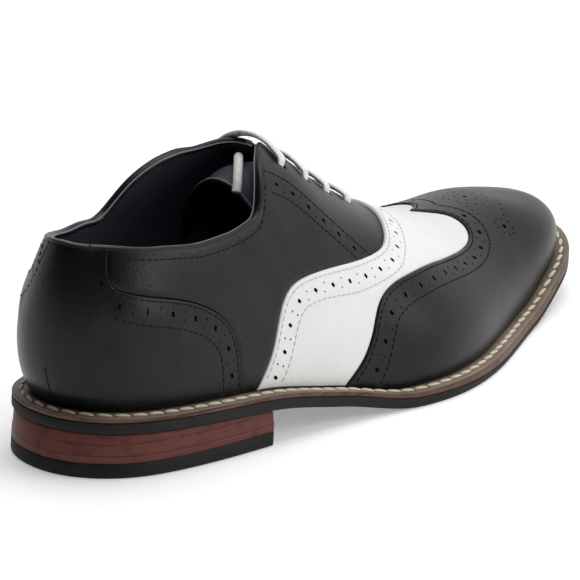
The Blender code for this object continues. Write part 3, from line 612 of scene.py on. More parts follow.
def add_piece(name, points, faces, materials, nodes=(), indices=None, normals=None):
    """A piece of the shoe from points measured from the heel's back."""
    mesh = bpy.data.meshes.new(name)
    mesh.from_pydata((np.asarray(points, float) - ORIGIN).tolist(), [], faces)
    for key in materials:
        mesh.materials.append(MATERIALS[key])
    if indices is not None:
        mesh.polygons.foreach_set("material_index", np.asarray(indices, np.int32))
    mesh.shade_smooth()
    if normals is not None:
        mesh.normals_split_custom_set_from_vertices(normals)
    mesh.update()
    piece = bpy.data.objects.new(name, mesh)
    bpy.context.collection.objects.link(piece)
    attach(piece, "root")
    if nodes:
        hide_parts(*nodes)
    return piece


def fold_lines():
    """Each fold's side, its two ends on the flat pattern, its height and its half width."""
    lines = []
    for side, sign in (("lateral", -1), ("medial", 1)):
        for share_a, down_a, share_b, down_b, height, half in FOLDS[side]:
            ends = flat_pattern(np.array([[share_a, sign * down_a], [share_b, sign * down_b]]))
            lines.append((sign, ends, height, half))
    return lines


FOLD_LINES = fold_lines()


def fold_height(places, flat):
    """Soft relief of the leather at each place."""
    total = np.zeros(len(places))
    for sign in (-1, 1):
        on_side = (places[:, 1] <= 0) if sign < 0 else (places[:, 1] > 0)
        for ends, height, half in (line[1:] for line in FOLD_LINES if line[0] == sign):
            run = ends[1] - ends[0]
            part = np.clip(((flat - ends[0]) @ run) / (run @ run), 0, 1)
            away = np.linalg.norm(flat - ends[0] - part[:, None] * run, axis=1)
            total += np.where(on_side, height * np.exp(-(away / half) ** 2), 0)
    return total


def dressed(places, heights):
    """Points of the leather at heights above the last, its soft relief included."""
    return skin_point(places[:, 0], places[:, 1], heights + fold_height(places, flat_pattern(places)))


def dressed_normal(places, heights):
    """Outward directions of the leather with its soft relief."""
    low_share = np.maximum(places[:, 0] - FINE, 0)
    high_share = np.minimum(places[:, 0] + FINE, 1)
    low_across = np.maximum(places[:, 1] - FINE, -1)
    high_across = np.minimum(places[:, 1] + FINE, 1)
    near_top = np.abs(places[:, 1]) < 0.02
    along = (dressed(np.column_stack([high_share, places[:, 1]]), heights)
             - dressed(np.column_stack([low_share, places[:, 1]]), heights))
    around = (dressed(np.column_stack([places[:, 0], high_across]), heights)
              - dressed(np.column_stack([places[:, 0], low_across]), heights))
    normal = unit(np.cross(along, around))
    normal[near_top] = surface_normal(places[near_top, 0], places[near_top, 1])
    return normal


def slopes(places, flat):
    """How the flat pattern moves with share and with across."""
    share_step = np.where(places[:, 0] > 0.5, -FINE, FINE)
    across_step = np.where(places[:, 1] > 0, -FINE, FINE)
    by_share = flat_pattern(places + np.column_stack([share_step, 0 * share_step])) - flat
    by_across = flat_pattern(places + np.column_stack([0 * across_step, across_step])) - flat
    return np.stack([by_share / share_step[:, None], by_across / across_step[:, None]], -1)


def reach(places, targets, steps=6):
    """Places whose positions on the flat pattern are the targets."""
    places = np.array(places, float)
    for k in range(steps):
        flat = flat_pattern(places)
        share = 1 / max(1, steps - 2 - k)
        move = np.linalg.solve(slopes(places, flat), ((targets - flat) * share)[:, :, None])[:, :, 0]
        places = places + np.clip(move, -0.06, 0.06)
        places[:, 0] = np.clip(places[:, 0], 0, 1)
        places[:, 1] = np.clip(places[:, 1], -1, 1)
    return places


def fine_seam(rows, step=EDGE_STEP):
    """A smooth line through a seam's rows, as pairs of share and down."""
    rows = np.asarray(rows, float)
    weight = np.array([np.pi * LENGTH / 3, LENGTH / 3])
    scaled = rows * weight
    knots = np.concatenate([[0], np.cumsum(np.linalg.norm(np.diff(scaled, axis=0), axis=1))])
    bends = spline_bends(knots, scaled, False)
    line, marks = [scaled[0]], [0]
    for i in range(len(rows) - 1):
        count = max(1, round((knots[i + 1] - knots[i]) / step))
        part = (np.arange(1, count + 1) / count)[:, None]
        line.extend(spline_value(knots[i + 1] - knots[i], scaled[i], scaled[i + 1], bends[i],
                                 bends[i + 1], part))
        marks.append(len(line) - 1)
    return np.array(line) / weight, marks


def between(start, end, step=EDGE_STEP):
    """Shares from one to another, a step apart along the sole's edge."""
    return np.linspace(start, end, max(1, round(abs(end - start) * LENGTH * 1.1 / step)) + 1)


def feather(start, end, side):
    """The upper's bottom edge as pairs of share and across."""
    shares = between(start, end)
    return signed(np.column_stack([shares, np.ones_like(shares)]), side)


def collar(start, end, side):
    """The collar's edge as pairs of share and across."""
    shares = between(start, end)
    return signed(np.column_stack([shares, collar_down(shares, side)]), side)


def on_collar(rows, side):
    """A seam's rows with the first one moved onto the collar's edge."""
    return [(rows[0][0], float(collar_down(rows[0][0], side)))] + list(rows[1:])


def shrink(places, amount):
    """A closed outline moved inwards on the flat pattern."""
    outline = flat_pattern(places)
    ahead, behind = np.roll(outline, -1, 0) - outline, outline - np.roll(outline, 1, 0)
    normal = np.stack([unit(ahead)[:, 1] + unit(behind)[:, 1],
                       -unit(ahead)[:, 0] - unit(behind)[:, 0]], -1) / 2
    normal /= np.maximum((normal ** 2).sum(1, keepdims=True), 0.25)
    area = np.cross(outline, np.roll(outline, -1, 0)).sum()
    target = -np.sign(area) * amount * normal
    share_step = np.where(places[:, 0] > 0.5, -FINE, FINE)
    across_step = np.where(places[:, 1] > 0, -FINE, FINE)
    by_share = flat_pattern(places + np.column_stack([share_step, 0 * share_step])) - outline
    by_across = flat_pattern(places + np.column_stack([0 * across_step, across_step])) - outline
    matrix = np.stack([by_share / share_step[:, None], by_across / across_step[:, None]], -1)
    move = np.linalg.solve(matrix, target[:, :, None])[:, :, 0]
    result = places + move
    result[:, 1] = np.clip(result[:, 1], -1, 1)
    result[:, 0] = np.clip(result[:, 0], 0, 1)
    return result


def offset_line(rows, side, distance, step=0.0012):
    """A line beside a seam, towards the toe or the welt for a distance above 0, clipped at the top
    line and at the feather edge."""
    line = signed(fine_seam(rows, step)[0], side)
    flat = flat_pattern(line)
    ahead = unit(np.gradient(flat, axis=0))
    normal = np.stack([-ahead[:, 1], ahead[:, 0]], -1) * (1 if side == "lateral" else -1)
    targets = flat + normal * distance
    foot = np.abs(line[:, 1]) > 0.999
    moved = reach(line, targets)
    miss = np.linalg.norm(flat_pattern(moved) - targets, axis=1)
    keep = (miss < 0.0006) & (moved[:, 1] * (-1 if side == "lateral" else 1) > -0.002) | foot
    moved = moved[keep]
    return moved[np.abs(moved[:, 1]) < 0.995]


def line_length(places):
    """Running length along a line of places, on the last's surface."""
    points = last_point(places[:, 0], places[:, 1])
    return np.concatenate([[0], np.cumsum(np.linalg.norm(np.diff(points, axis=0), axis=1))])


def along_line(places, at):
    """Places at given lengths along a line."""
    run = line_length(places)
    return np.column_stack([np.interp(at, run, places[:, k]) for k in (0, 1)])


def spaced(places, pitch, start, end=0.0):
    """Places a pitch apart along a line, from a start, to the given length before its end."""
    total = line_length(places)[-1]
    return along_line(places, np.arange(start, total - end, pitch))


def tangents(centre):
    """Steps of share and across that make a millimetre along each of two directions on the skin."""
    share, across = centre
    push = np.array([-FINE if share > 0.5 else FINE, -FINE if across > 0 else FINE])
    here = last_point(share, across)
    by_share = (last_point(share + push[0], across) - here) / push[0]
    by_across = (last_point(share, across + push[1]) - here) / push[1]
    first = unit(by_share)
    second = unit(by_across - first * (by_across @ first))
    matrix = np.array([[by_share @ first, by_across @ first], [by_share @ second, by_across @ second]])
    return np.linalg.inv(matrix)


def circle(centre, radius, count):
    """A round hole's rim as places."""
    turn = np.arange(count) / count * 2 * np.pi
    offsets = np.stack([np.cos(turn), np.sin(turn)]) * radius
    return np.asarray(centre) + (tangents(centre) @ offsets).T


def pairs_between(holes, half):
    """The two small holes between each pair of large ones, across the band."""
    result = []
    for first, last in zip(holes, holes[1:]):
        middle = (first + last) / 2
        inverse = tangents(middle)
        run = np.linalg.inv(inverse) @ (last - first)
        run = run / np.linalg.norm(run)
        side = np.array([-run[1], run[0]]) * half
        result += [middle + inverse @ side, middle - inverse @ side]
    return result


def panel_points(outline, spacing, taken):
    """Evenly spread places inside an outline on the flat pattern, clear of the taken positions."""
    tree = kdtree.KDTree(len(taken))
    for k, spot in enumerate(taken):
        tree.insert((*spot, 0.0), k)
    tree.balance()
    places = []
    for share in np.arange(spacing / LENGTH / 2, 1, spacing / LENGTH * 0.9):
        for side in (-1, 1):
            run = last_point(share, side * np.linspace(0, 1, 9))
            length = np.linalg.norm(np.diff(run, axis=0), axis=1).sum()
            shift = 0.25 if round(share / (spacing / LENGTH * 0.9)) % 2 else 0.75
            downs = np.arange(shift, max(1, length / spacing)) * spacing / length
            places.append(np.column_stack([np.full_like(downs, share), side * downs]))
    places = np.vstack(places)
    places = places[np.abs(places[:, 1]) < 0.999]
    flat = flat_pattern(places)
    near = inside(outline, flat)
    places, flat = places[near], flat[near]
    clear = [tree.find((*spot, 0.0))[2] > spacing * 0.55 for spot in flat]
    return places[clear]


def make_panel(name, border, top, floor, leather, nodes=(), lines=(), large=(), small=(),
               lace_holes=()):
    """A leather panel with rounded edges, punched holes and grooves under its rows of stitches."""
    border = np.vstack(border)
    keep = np.abs(np.diff(border, axis=0, append=border[:1])).max(1) > 1e-9
    border = shrink(border[keep], 0.00006)
    rings = [border, shrink(border, 0.3 * EDGE_ROUND), shrink(border, EDGE_ROUND)]
    count = len(border)
    outline = flat_pattern(rings[2])
    places, heights, loops = [rings[2]], [np.full(count, top)], []
    total = count
    holes = [(spot, LARGE_HOLE, 12) for spot in large] + [(spot, SMALL_HOLE, 8) for spot in small]
    holes += [(spot, LACE_HOLE, 20) for spot in lace_holes]
    centres = []
    for spot, radius, sides in holes:
        rim = circle(spot, radius * 1.22, sides)
        places.append(rim)
        heights.append(np.full(sides, top))
        loops.append((spot, radius, sides, total))
        centres.append((flat_pattern(np.array([spot]))[0], radius))
        total += sides
    hole_flats = np.array([centre for centre, _ in centres]).reshape(-1, 2)
    hole_radii = np.array([radius for _, radius in centres])
    for line in lines:
        flat = flat_pattern(line)
        ahead = unit(np.gradient(flat, axis=0))
        normal = np.stack([-ahead[:, 1], ahead[:, 0]], -1)
        for shift, sink in ((0.0, GROOVE), (GROOVE_HALF, 0.0), (-GROOVE_HALF, 0.0)):
            moved = line if shift == 0 else reach(line, flat + normal * shift, 2)
            spots = flat_pattern(moved)
            good = inside(outline, spots)
            if len(hole_flats):
                away = np.linalg.norm(spots[:, None] - hole_flats[None], axis=2)
                good &= (away > hole_radii * 1.5 + 0.0002).all(1)
            places.append(moved[good])
            heights.append(np.full(good.sum(), top - sink))
            total += good.sum()
    fixed = np.vstack(places)
    taken = flat_pattern(fixed)
    more = panel_points(outline, PANEL_STEP, np.vstack([taken, hole_flats]) if len(hole_flats) else taken)
    places = np.vstack([fixed, more])
    heights = np.concatenate(heights + [np.full(len(more), top)])
    flat = np.vstack([taken, flat_pattern(more)])
    edges = [(i, (i + 1) % count) for i in range(count)]
    for _, _, sides, start in loops:
        edges += [(start + i, start + (i + 1) % sides) for i in range(sides)]
    spots, _, triangles, origin = geometry.delaunay_2d_cdt([Vector(spot) for spot in flat], edges, [],
                                                           0, 1e-8)[:4]
    source = []
    for k, spot in enumerate(spots):
        if origin[k]:
            source.append(origin[k][0])
        else:
            source.append(int(np.argmin(np.linalg.norm(flat - np.array(spot), axis=1))))
    source = np.array(source)
    corners = np.array([list(spot) for spot in spots])
    triangles = np.array([list(face) for face in triangles])
    middle = corners[triangles].mean(1)
    chosen = inside(outline, middle)
    for centre, radius in centres:
        chosen &= np.linalg.norm(middle - centre, axis=1) > radius * 0.8
    triangles = source[triangles[chosen]]
    distinct = ((triangles[:, 0] != triangles[:, 1]) & (triangles[:, 1] != triangles[:, 2])
                & (triangles[:, 0] != triangles[:, 2]))
    faces = triangles[distinct].tolist()
    points = [dressed(places, heights)]
    normals = dressed_normal(places, heights)
    flatly = np.abs(heights - top) < 1e-9
    normals[~flatly] = 0
    normals[:count] = 0
    indices = [0] * len(faces)
    size = len(places)
    turned = np.cross(outline, np.roll(outline, -1, 0)).sum() > 0
    bands = [(2, top), (1, top - 0.3 * EDGE_ROUND), (0, top - EDGE_ROUND), (0, floor)]
    previous = 0
    for ring, height in bands[1:]:
        points.append(dressed(rings[ring], np.full(count, height)))
        for i in range(count):
            j = (i + 1) % count
            quad = [previous + i, size + i, size + j, previous + j]
            faces.append(quad if turned else quad[::-1])
            indices.append(0)
        previous = size
        size += count
    for spot, radius, sides, start in loops:
        depth = min(HOLE_DEPTH, top - floor) if radius < LACE_HOLE else top - floor
        outer = start
        for scale, height in ((1.0, top - 0.00014), (0.96, top - depth)):
            points.append(dressed(circle(spot, radius * scale, sides), np.full(sides, height)))
            for i in range(sides):
                j = (i + 1) % sides
                faces.append([outer + i, outer + j, size + j, size + i])
                indices.append(0 if scale == 1.0 else 1)
            outer = size
            size += sides
        faces.append([outer + i for i in range(sides)])
        indices.append(1)
    points = np.vstack(points)
    normals = np.vstack([normals, np.zeros((len(points) - len(normals), 3))])
    return add_piece(name, points, faces, [leather, "hole"], nodes, indices, normals)


def capsule_template(sides=6):
    """A unit stitch: an oval body with rounded ends, along its first axis."""
    rows = [(-1.0, 0.0), (-0.82, 0.55), (-0.45, 0.92), (0.0, 1.0), (0.45, 0.92), (0.82, 0.55), (1.0, 0.0)]
    points, faces = [], []
    for along, radius in rows:
        for k in range(1 if radius == 0 else sides):
            turn = 2 * np.pi * k / sides
            points.append((along, radius * np.cos(turn), radius * np.sin(turn)))
    for k in range(sides):
        faces.append((0, 1 + (k + 1) % sides, 1 + k))
        for row in range(len(rows) - 3):
            first = 1 + row * sides
            faces.append((first + k, first + (k + 1) % sides, first + sides + (k + 1) % sides,
                          first + sides + k))
        last = 1 + (len(rows) - 3) * sides
        faces.append((last + k, last + (k + 1) % sides, len(points) - 1))
    return np.array(points), faces


def stitches(name, rows, material, width, height):
    """Many stitches as one piece. rows: middles, directions, upward directions and half lengths."""
    template, shape = capsule_template()
    points, faces = [], []
    for middle, ahead, up, half in rows:
        side = unit(np.cross(up, ahead))
        frames = np.stack([ahead * half[:, None], side * width, up * height], 1)
        made = middle[:, None, :] + template @ frames
        base = sum(len(part) for part in points)
        points.append(made.reshape(-1, 3))
        for k in range(len(middle)):
            shift = base + k * len(template)
            faces += [tuple(corner + shift for corner in face) for face in shape]
    return add_piece(name, np.vstack(points), faces, [material])


def stitch_row(line, height, pitch=0.0026, gap=0.0006):
    """Stitches along a line on the leather."""
    places = spaced(line, pitch, pitch * 0.5, pitch * 0.4)
    run = line_length(line)
    total = np.arange(pitch * 0.5, run[-1] - pitch * 0.4, pitch)[:len(places)]
    before, after = along_line(line, total - pitch * 0.4), along_line(line, total + pitch * 0.4)
    level = np.full(len(places), height)
    middle = dressed(places, level)
    ahead = unit(dressed(after, level) - dressed(before, level))
    up = surface_normal(places[:, 0], places[:, 1])
    return middle, ahead, up, np.full(len(places), (pitch - gap) / 2)


def sweep(centres, side, up, profile, closed=False):
    """A closed profile, as pairs of side and up, carried along a line of centres."""
    rings = centres[:, None] + profile[None, :, :1] * side[:, None] + profile[None, :, 1:] * up[:, None]
    count, size = len(centres), profile.shape[0]
    faces = []
    for i in range(count if closed else count - 1):
        j = (i + 1) % count
        for k in range(size):
            m = (k + 1) % size
            faces.append([i * size + k, i * size + m, j * size + m, j * size + k])
    if not closed:
        faces.append([k for k in range(size)][::-1])
        faces.append([(count - 1) * size + k for k in range(size)])
    return rings.reshape(-1, 3), faces


def oval(wide, high, sides=12):
    """Points round an oval."""
    turn = np.arange(sides) / sides * 2 * np.pi
    return np.column_stack([wide * np.cos(turn), high * np.sin(turn)])


def smooth_route(route, count):
    """Evenly spaced points on a smooth curve through a route."""
    route = np.asarray(route, float)
    knots = np.concatenate([[0], np.cumsum(np.linalg.norm(np.diff(route, axis=0), axis=1))])
    table = np.column_stack([knots, route])
    at = np.linspace(0, knots[-1], count)
    return np.stack([smooth_column(table, k, at) for k in range(1, route.shape[1] + 1)], -1)
PHOTO_WIDTH = 580          # pixels across the photograph


def make_camera():
    """The photograph's own view, fitted to the edges of the sole and the heel."""
    azimuth, elevation, roll = np.radians([-55.31, 18.68, 2.77])
    distance, focal = 2.43254, 6972.08
    target = np.array([0.10252, -0.02483, 0.04674]) - ORIGIN
    back = np.array([np.sin(azimuth) * np.cos(elevation), -np.cos(azimuth) * np.cos(elevation),
                     np.sin(elevation)])
    right = unit(np.cross(-back, [0, 0, 1]))
    up = np.cross(right, -back)
    turned = right * np.cos(roll) + up * np.sin(roll)
    above = -right * np.sin(roll) + up * np.cos(roll)
    data = bpy.data.cameras.new("camera")
    data.sensor_width = 36.0
    data.lens = focal / PHOTO_WIDTH * data.sensor_width
    data.clip_start, data.clip_end = 0.1, 50.0
    camera = bpy.data.objects.new("camera", data)
    bpy.context.collection.objects.link(camera)
    place = target + back * distance
    camera.matrix_world = Matrix([(*(axis[k] for axis in (turned, above, back)), place[k])
                                  for k in range(3)] + [(0, 0, 0, 1)])
    bpy.context.scene.camera = camera


def make_lace_end():
    """The lace's free end inside the collar, on the tongue."""
    centres = smooth_route(LACE_END, 73)
    ahead = unit(np.gradient(centres, axis=0))
    side = unit(np.cross(ahead, [0.0, 0.0, 1.0]))
    up = np.cross(side, ahead)
    points, faces = sweep(centres, side, up, oval(LACE_RADIUS, LACE_RADIUS, 14))
    lace = add_piece("lace_end_braid", points, faces, ["lace"], ["lace_end"])


BAR_POINTS = 61
BAR_SPREAD = 1.05          # the bars' ends a little below the holes of the table
BAR_LIFT = 0.0011          # middle of the lace above the facing
BAR_ARCH = 0.0004          # how much higher it lies over the throat
BAR_DIVE = 0.0030          # how far its ends go down into the holes
BAR_TURN = 0.085           # the share of a bar that goes down
BAR_HALF = (0.0027, 0.00095)


def make_lace_bars():
    """The straight bars: out of one hole, across the throat on a low arch, and down the other."""
    for number, (share, down) in enumerate(LACE_HOLES, 1):
        turn = np.linspace(0, 1, BAR_POINTS)
        across = down * (1 - 2 * turn) * BAR_SPREAD
        lift = FACING_TOP + BAR_LIFT + BAR_ARCH * np.sin(np.pi * turn) ** 0.8
        dive = np.clip(1 - np.minimum(turn, 1 - turn) / BAR_TURN, 0, 1)
        lift = lift - BAR_DIVE * dive ** 2
        places = np.column_stack([np.full(BAR_POINTS, share), -across])
        centres = skin_point(places[:, 0], places[:, 1], lift)
        ahead = unit(np.gradient(centres, axis=0))
        up = surface_normal(places[:, 0], places[:, 1])
        side = unit(np.cross(ahead, up))
        up = np.cross(side, ahead)
        points, faces = sweep(centres, side, up, oval(*BAR_HALF, 14))
        add_piece("lace_bar_" + str(number) + "_braid", points, faces, ["lace"],
                  ["lace_bar_" + str(number)])


def wing_border():
    seam, _ = fine_seam(WING_EDGE)
    heel = WING_EDGE[-1][0]
    return [signed(seam[::-1], "lateral"), signed(seam[1:], "medial"),
            feather(heel, 1, "medial")[1:], feather(1, heel, "lateral")[1:-1]]


def vamp_border():
    rear, front = fine_seam(VAMP_EDGE)[0], fine_seam(WING_EDGE)[0]
    rear_foot, front_foot = VAMP_EDGE[-1][0], WING_EDGE[-1][0]
    return [signed(rear[::-1], "lateral"), signed(rear[1:], "medial"),
            feather(rear_foot, front_foot, "medial")[1:-1],
            signed(front[::-1], "medial"), signed(front[1:], "lateral"),
            feather(front_foot, rear_foot, "lateral")[1:-1]]


def quarter_border(side):
    heel = fine_seam(on_collar(COUNTER_EDGE, side))[0]
    facing = fine_seam(on_collar(FACING_SEAM, side))[0]
    vamp, marks = fine_seam(VAMP_EDGE)
    return [collar(COUNTER_EDGE[0][0], FACING_SEAM[0][0], side)[:-1], signed(facing, side)[:-1],
            signed(vamp[marks[SEAM_ROW]:], side),
            feather(VAMP_EDGE[-1][0], COUNTER_EDGE[-1][0], side)[1:-1],
            signed(heel[::-1], side)[:-1]]


def counter_border():
    top, foot = COUNTER_EDGE[0][0], COUNTER_EDGE[-1][0]
    lateral = fine_seam(on_collar(COUNTER_EDGE, "lateral"))[0]
    medial = fine_seam(on_collar(COUNTER_EDGE, "medial"))[0]
    return [collar(top, 0, "lateral")[:-1], collar(0, top, "medial"),
            signed(medial, "medial")[1:-1], feather(foot, 0, "medial"),
            feather(0, foot, "lateral")[1:], signed(lateral[::-1], "lateral")[1:-1]]


def facing_border(side):
    """The facing from the throat to 3 mm under the quarter and the vamp."""
    tuck = 0.030
    seam = fine_seam(on_collar(FACING_SEAM, side))[0]
    vamp, marks = fine_seam(VAMP_EDGE)
    front = vamp[:marks[SEAM_ROW] + 1]
    under = np.vstack([seam[:-1] + [0.0, tuck], front[::-1][:1] + [0.0, tuck]])
    ahead = front[::-1][1:] + [tuck * 0.55, tuck * 0.6]
    ahead[-1, 1] = 0.012
    ahead = ahead[ahead[:, 1] > 0.011]
    shares = between(THROAT_END, THROAT_TOP)
    throat = np.column_stack([shares, np.maximum(collar_down(np.minimum(shares, THROAT_END - 1e-6), side),
                                                 0.002)])
    top = between(THROAT_TOP, seam[0][0])
    rim = np.column_stack([top, collar_down(top, side)])
    return [signed(rim[1:-1], side), signed(under, side), signed(ahead, side), signed(throat, side)]


BANDS = {
    # holes beside the edge, pitch, first hole, margin at the end, half a pair, stitch lines
    "wing": (0.0050, 0.0104, 0.0138, 0.0040, 0.0016, (0.0014, 0.0086)),
    "vamp": (0.0052, 0.00945, 0.0098, 0.0008, 0.0016, (0.0016, 0.0088)),
    "counter": (-0.0052, 0.0108, 0.0132, 0.0020, 0.0016, (-0.0013, -0.0100)),
    "facing": (-0.0056, 0.0094, 0.0050, 0.0020, 0.0015, (-0.0013, -0.0097))}
RIM_STITCH = 0.033         # stitch line under the collar, as a share of the half section
FACING_STITCH = 0.0016     # stitch line beside the throat
LACE_DROP = 1.045          # lace holes a little below the bars' ends in the solids


def brogue_band(kind, edge, side):
    """A band beside a seam: its large holes, its small holes and its stitch lines."""
    beside, pitch, first, margin, half, lines = BANDS[kind]
    holes = spaced(offset_line(edge, side, beside), pitch, first, margin)
    return [list(holes), pairs_between(holes, half), [offset_line(edge, side, row) for row in lines]]


def make_uppers():
    """The panels of the upper with their holes and stitches."""
    bands = {"wing": [[], [], []], "vamp": [[], [], []], "counter": [[], [], []]}
    black_rows, white_rows = [], []
    for side in SIDES:
        edges = {"wing": WING_EDGE, "vamp": VAMP_EDGE, "counter": on_collar(COUNTER_EDGE, side)}
        for kind, edge in edges.items():
            for total, more in zip(bands[kind], brogue_band(kind, edge, side)):
                total += more
        large, small, lines = brogue_band("facing", on_collar(FACING_SEAM, side), side)
        rim = collar(0.066, 0.312, side)
        rim[:, 1] += RIM_STITCH * (-1 if side == "lateral" else 1)
        lines.append(rim)
        make_panel("quarter_" + side + "_leather", quarter_border(side), QUARTER_RISE, PANEL_FLOOR,
                   "black", ["quarter_" + side], lines, large, small)
        black_rows += [stitch_row(line, QUARTER_RISE - 0.0001) for line in lines]
        throat = between(THROAT_TOP + 0.006, THROAT_END - 0.012)
        crown = smooth_column(SECTIONS, 7 if side == "lateral" else 8, throat) * LENGTH
        line = signed(np.column_stack([throat, (THROAT_HALF + FACING_STITCH) / (3 * crown)]), side)
        make_panel("facing_" + side + "_leather", facing_border(side), FACING_TOP, FACING_FLOOR, "black",
                   (), [line],
                   lace_holes=list(signed(LACE_HOLES, side) * [1.0, LACE_DROP]))
        black_rows.append(stitch_row(line, FACING_TOP - 0.0001))
    medallion = toe_medallion()
    large, small, lines = bands["wing"]
    make_panel("wingtip_leather", wing_border(), WING_RISE, -0.0002, "black",
               ["wingtip"], lines, large + medallion[0], small + medallion[1])
    black_rows += [stitch_row(line, WING_RISE - 0.0001) for line in lines]
    large, small, lines = bands["vamp"]
    make_panel("vamp_leather", vamp_border(), VAMP_RISE, PANEL_FLOOR, "white",
               ["vamp"], lines, large, small)
    white_rows += [stitch_row(line, VAMP_RISE - 0.0001) for line in lines]
    large, small, lines = bands["counter"]
    make_panel("counter_leather", counter_border(), COUNTER_RISE, PANEL_FLOOR, "black",
               ["counter"], lines, large, small)
    black_rows += [stitch_row(line, COUNTER_RISE - 0.0001) for line in lines]
    back = np.column_stack([np.linspace(0.056, 0.046, 24), np.linspace(0.43, 0.50, 24)])
    black_rows.append(stitch_row(back, COUNTER_RISE))
    downs = np.linspace(0.83, 0.955, 30)
    slit = skin_point(0.0055 - 0.002 * np.linspace(0, 1, 30), downs, COUNTER_RISE)
    points, faces = sweep(slit, np.tile([0.0, 1.0, 0.0], (30, 1)), np.tile([-1.0, 0.0, 0.0], (30, 1)),
                          oval(0.00028, 0.00012, 8))
    add_piece("heel_slit", points, faces, ["hole"])
    stitches("black_threads", black_rows, "black_thread", 0.00026, 0.00024)
    stitches("white_threads", white_rows, "white_thread", 0.00024, 0.00022)


def toe_medallion():
    """The toe's punched rosette: a ring and a wider ring round one hole, with a scroll on each side."""
    middle = flat_pattern(np.array([[0.835, 0.0]]))[0]
    large, small = [(0.0, 0.0)], []
    for count, radius, turn in ((10, 0.0042, 0.0), (14, 0.0080, 0.5)):
        angles = (np.arange(count) + turn) / count * 2 * np.pi
        small += [(radius * np.cos(angle), radius * np.sin(angle)) for angle in angles]
    for sign in (-1, 1):
        centre = np.array([-0.0040, 0.0215 * sign])
        large.append(tuple(centre))
        angles = (np.arange(9) + 0.5) / 9 * 2 * np.pi
        small += [tuple(centre + 0.0040 * np.array([np.cos(angle), np.sin(angle)])) for angle in angles]
        for part in np.linspace(0, 1, 4):
            small.append((0.0085 - 0.0075 * part, sign * (0.0085 + 0.0085 * part)))
            small.append((-0.0085 - 0.0020 * part, sign * (0.0040 + 0.0090 * part)))

    def located(spots):
        targets = middle + np.array(spots)
        start = np.column_stack([np.full(len(targets), 0.83), np.where(targets[:, 1] < 0, -0.2, 0.2)])
        return list(reach(start, targets, 12))

    return located(large), located(small)


def make_lining():
    """The wall behind the panels, with the dark lining inside."""
    shares = np.unique(np.concatenate([np.linspace(0, 1, 121), [THROAT_TOP, THROAT_END]]))
    levels = np.linspace(0, 1, 31)
    for height, name, key in ((WALL_INNER, "lining_inside", "lining"), (WALL_OUTER, "lining_back", "black")):
        points, faces = [], []
        for side in SIDES:
            sign = -1 if side == "lateral" else 1
            free = np.where(shares < THROAT_END, collar_down(shares, side), 0.0)
            down = 1 - levels[None, :] * (1 - free[:, None])
            grid = skin_point(np.broadcast_to(shares[:, None], down.shape), sign * down, height)
            base = sum(len(part) for part in points)
            points.append(grid.reshape(-1, 3))
            width = len(levels)
            for i in range(len(shares) - 1):
                for j in range(width - 1):
                    a = base + i * width + j
                    face = [a, a + width, a + width + 1, a + 1]
                    faces.append(face if (sign < 0) == (key == "black") else face[::-1])
        add_piece(name, np.vstack(points), faces, [key], ["upper"] if key == "lining" else ())


def make_rim():
    """The rolled edge round the collar, with a pale grey cord along its top just inside it: a painted
    highlight.
    """
    path = []
    shares_round = {"lateral": between(THROAT_TOP, 0, 0.0016), "medial": between(0, THROAT_TOP, 0.0016)[1:]}
    for side, shares in shares_round.items():
        path.append(signed(np.column_stack([shares, collar_down(shares, side)]), side))
    path = np.vstack(path)
    outer = np.interp(path[:, 0], [0.0, 0.055, 0.07, 0.312, 0.330, 1.0],
                      [COUNTER_RISE, COUNTER_RISE, QUARTER_RISE, QUARTER_RISE, FACING_TOP, FACING_TOP])
    centre = (outer + WALL_INNER) / 2
    half = (outer - WALL_INNER) / 2
    points = skin_point(path[:, 0], path[:, 1], centre)
    normal = surface_normal(path[:, 0], path[:, 1])
    ahead = unit(np.gradient(points, axis=0))
    up = unit(np.cross(normal, ahead))
    up *= np.where(up[:, 2:] < 0, -1, 1)
    ring = oval(1.0, 1.0, 16)
    centres = points - up * 0.0002
    rings = (centres[:, None] + ring[None, :, :1] * (normal * (half + 0.00012)[:, None])[:, None]
             + ring[None, :, 1:] * (up * 0.0011)[:, None])
    count, size = len(path), len(ring)
    faces = []
    for i in range(count - 1):
        for k in range(size):
            m = (k + 1) % size
            faces.append([i * size + k, i * size + m, (i + 1) * size + m, (i + 1) * size + k])
    faces.append(list(range(size))[::-1])
    faces.append([(count - 1) * size + k for k in range(size)])
    add_piece("collar_roll", rings.reshape(-1, 3), faces, ["black"])
    # pale grey cord along the roll's top, just inside: painted highlight of the collar's edge
    edge = centres + up * 0.00092 - normal * (half * 0.62)[:, None]
    points, faces = sweep(edge, normal, up, oval(0.00026, 0.00026, 8))
    add_piece("collar_painted_edge_highlight", points, faces, ["rim"])


TONGUE_FLARE = 0.36        # how much wider the tongue's free end is than the solid's
FLARE_FROM, FLARE_RUN = 0.42, 0.09
TONGUE_ARCH = 0.012        # depth of the arch in its free end, as a share


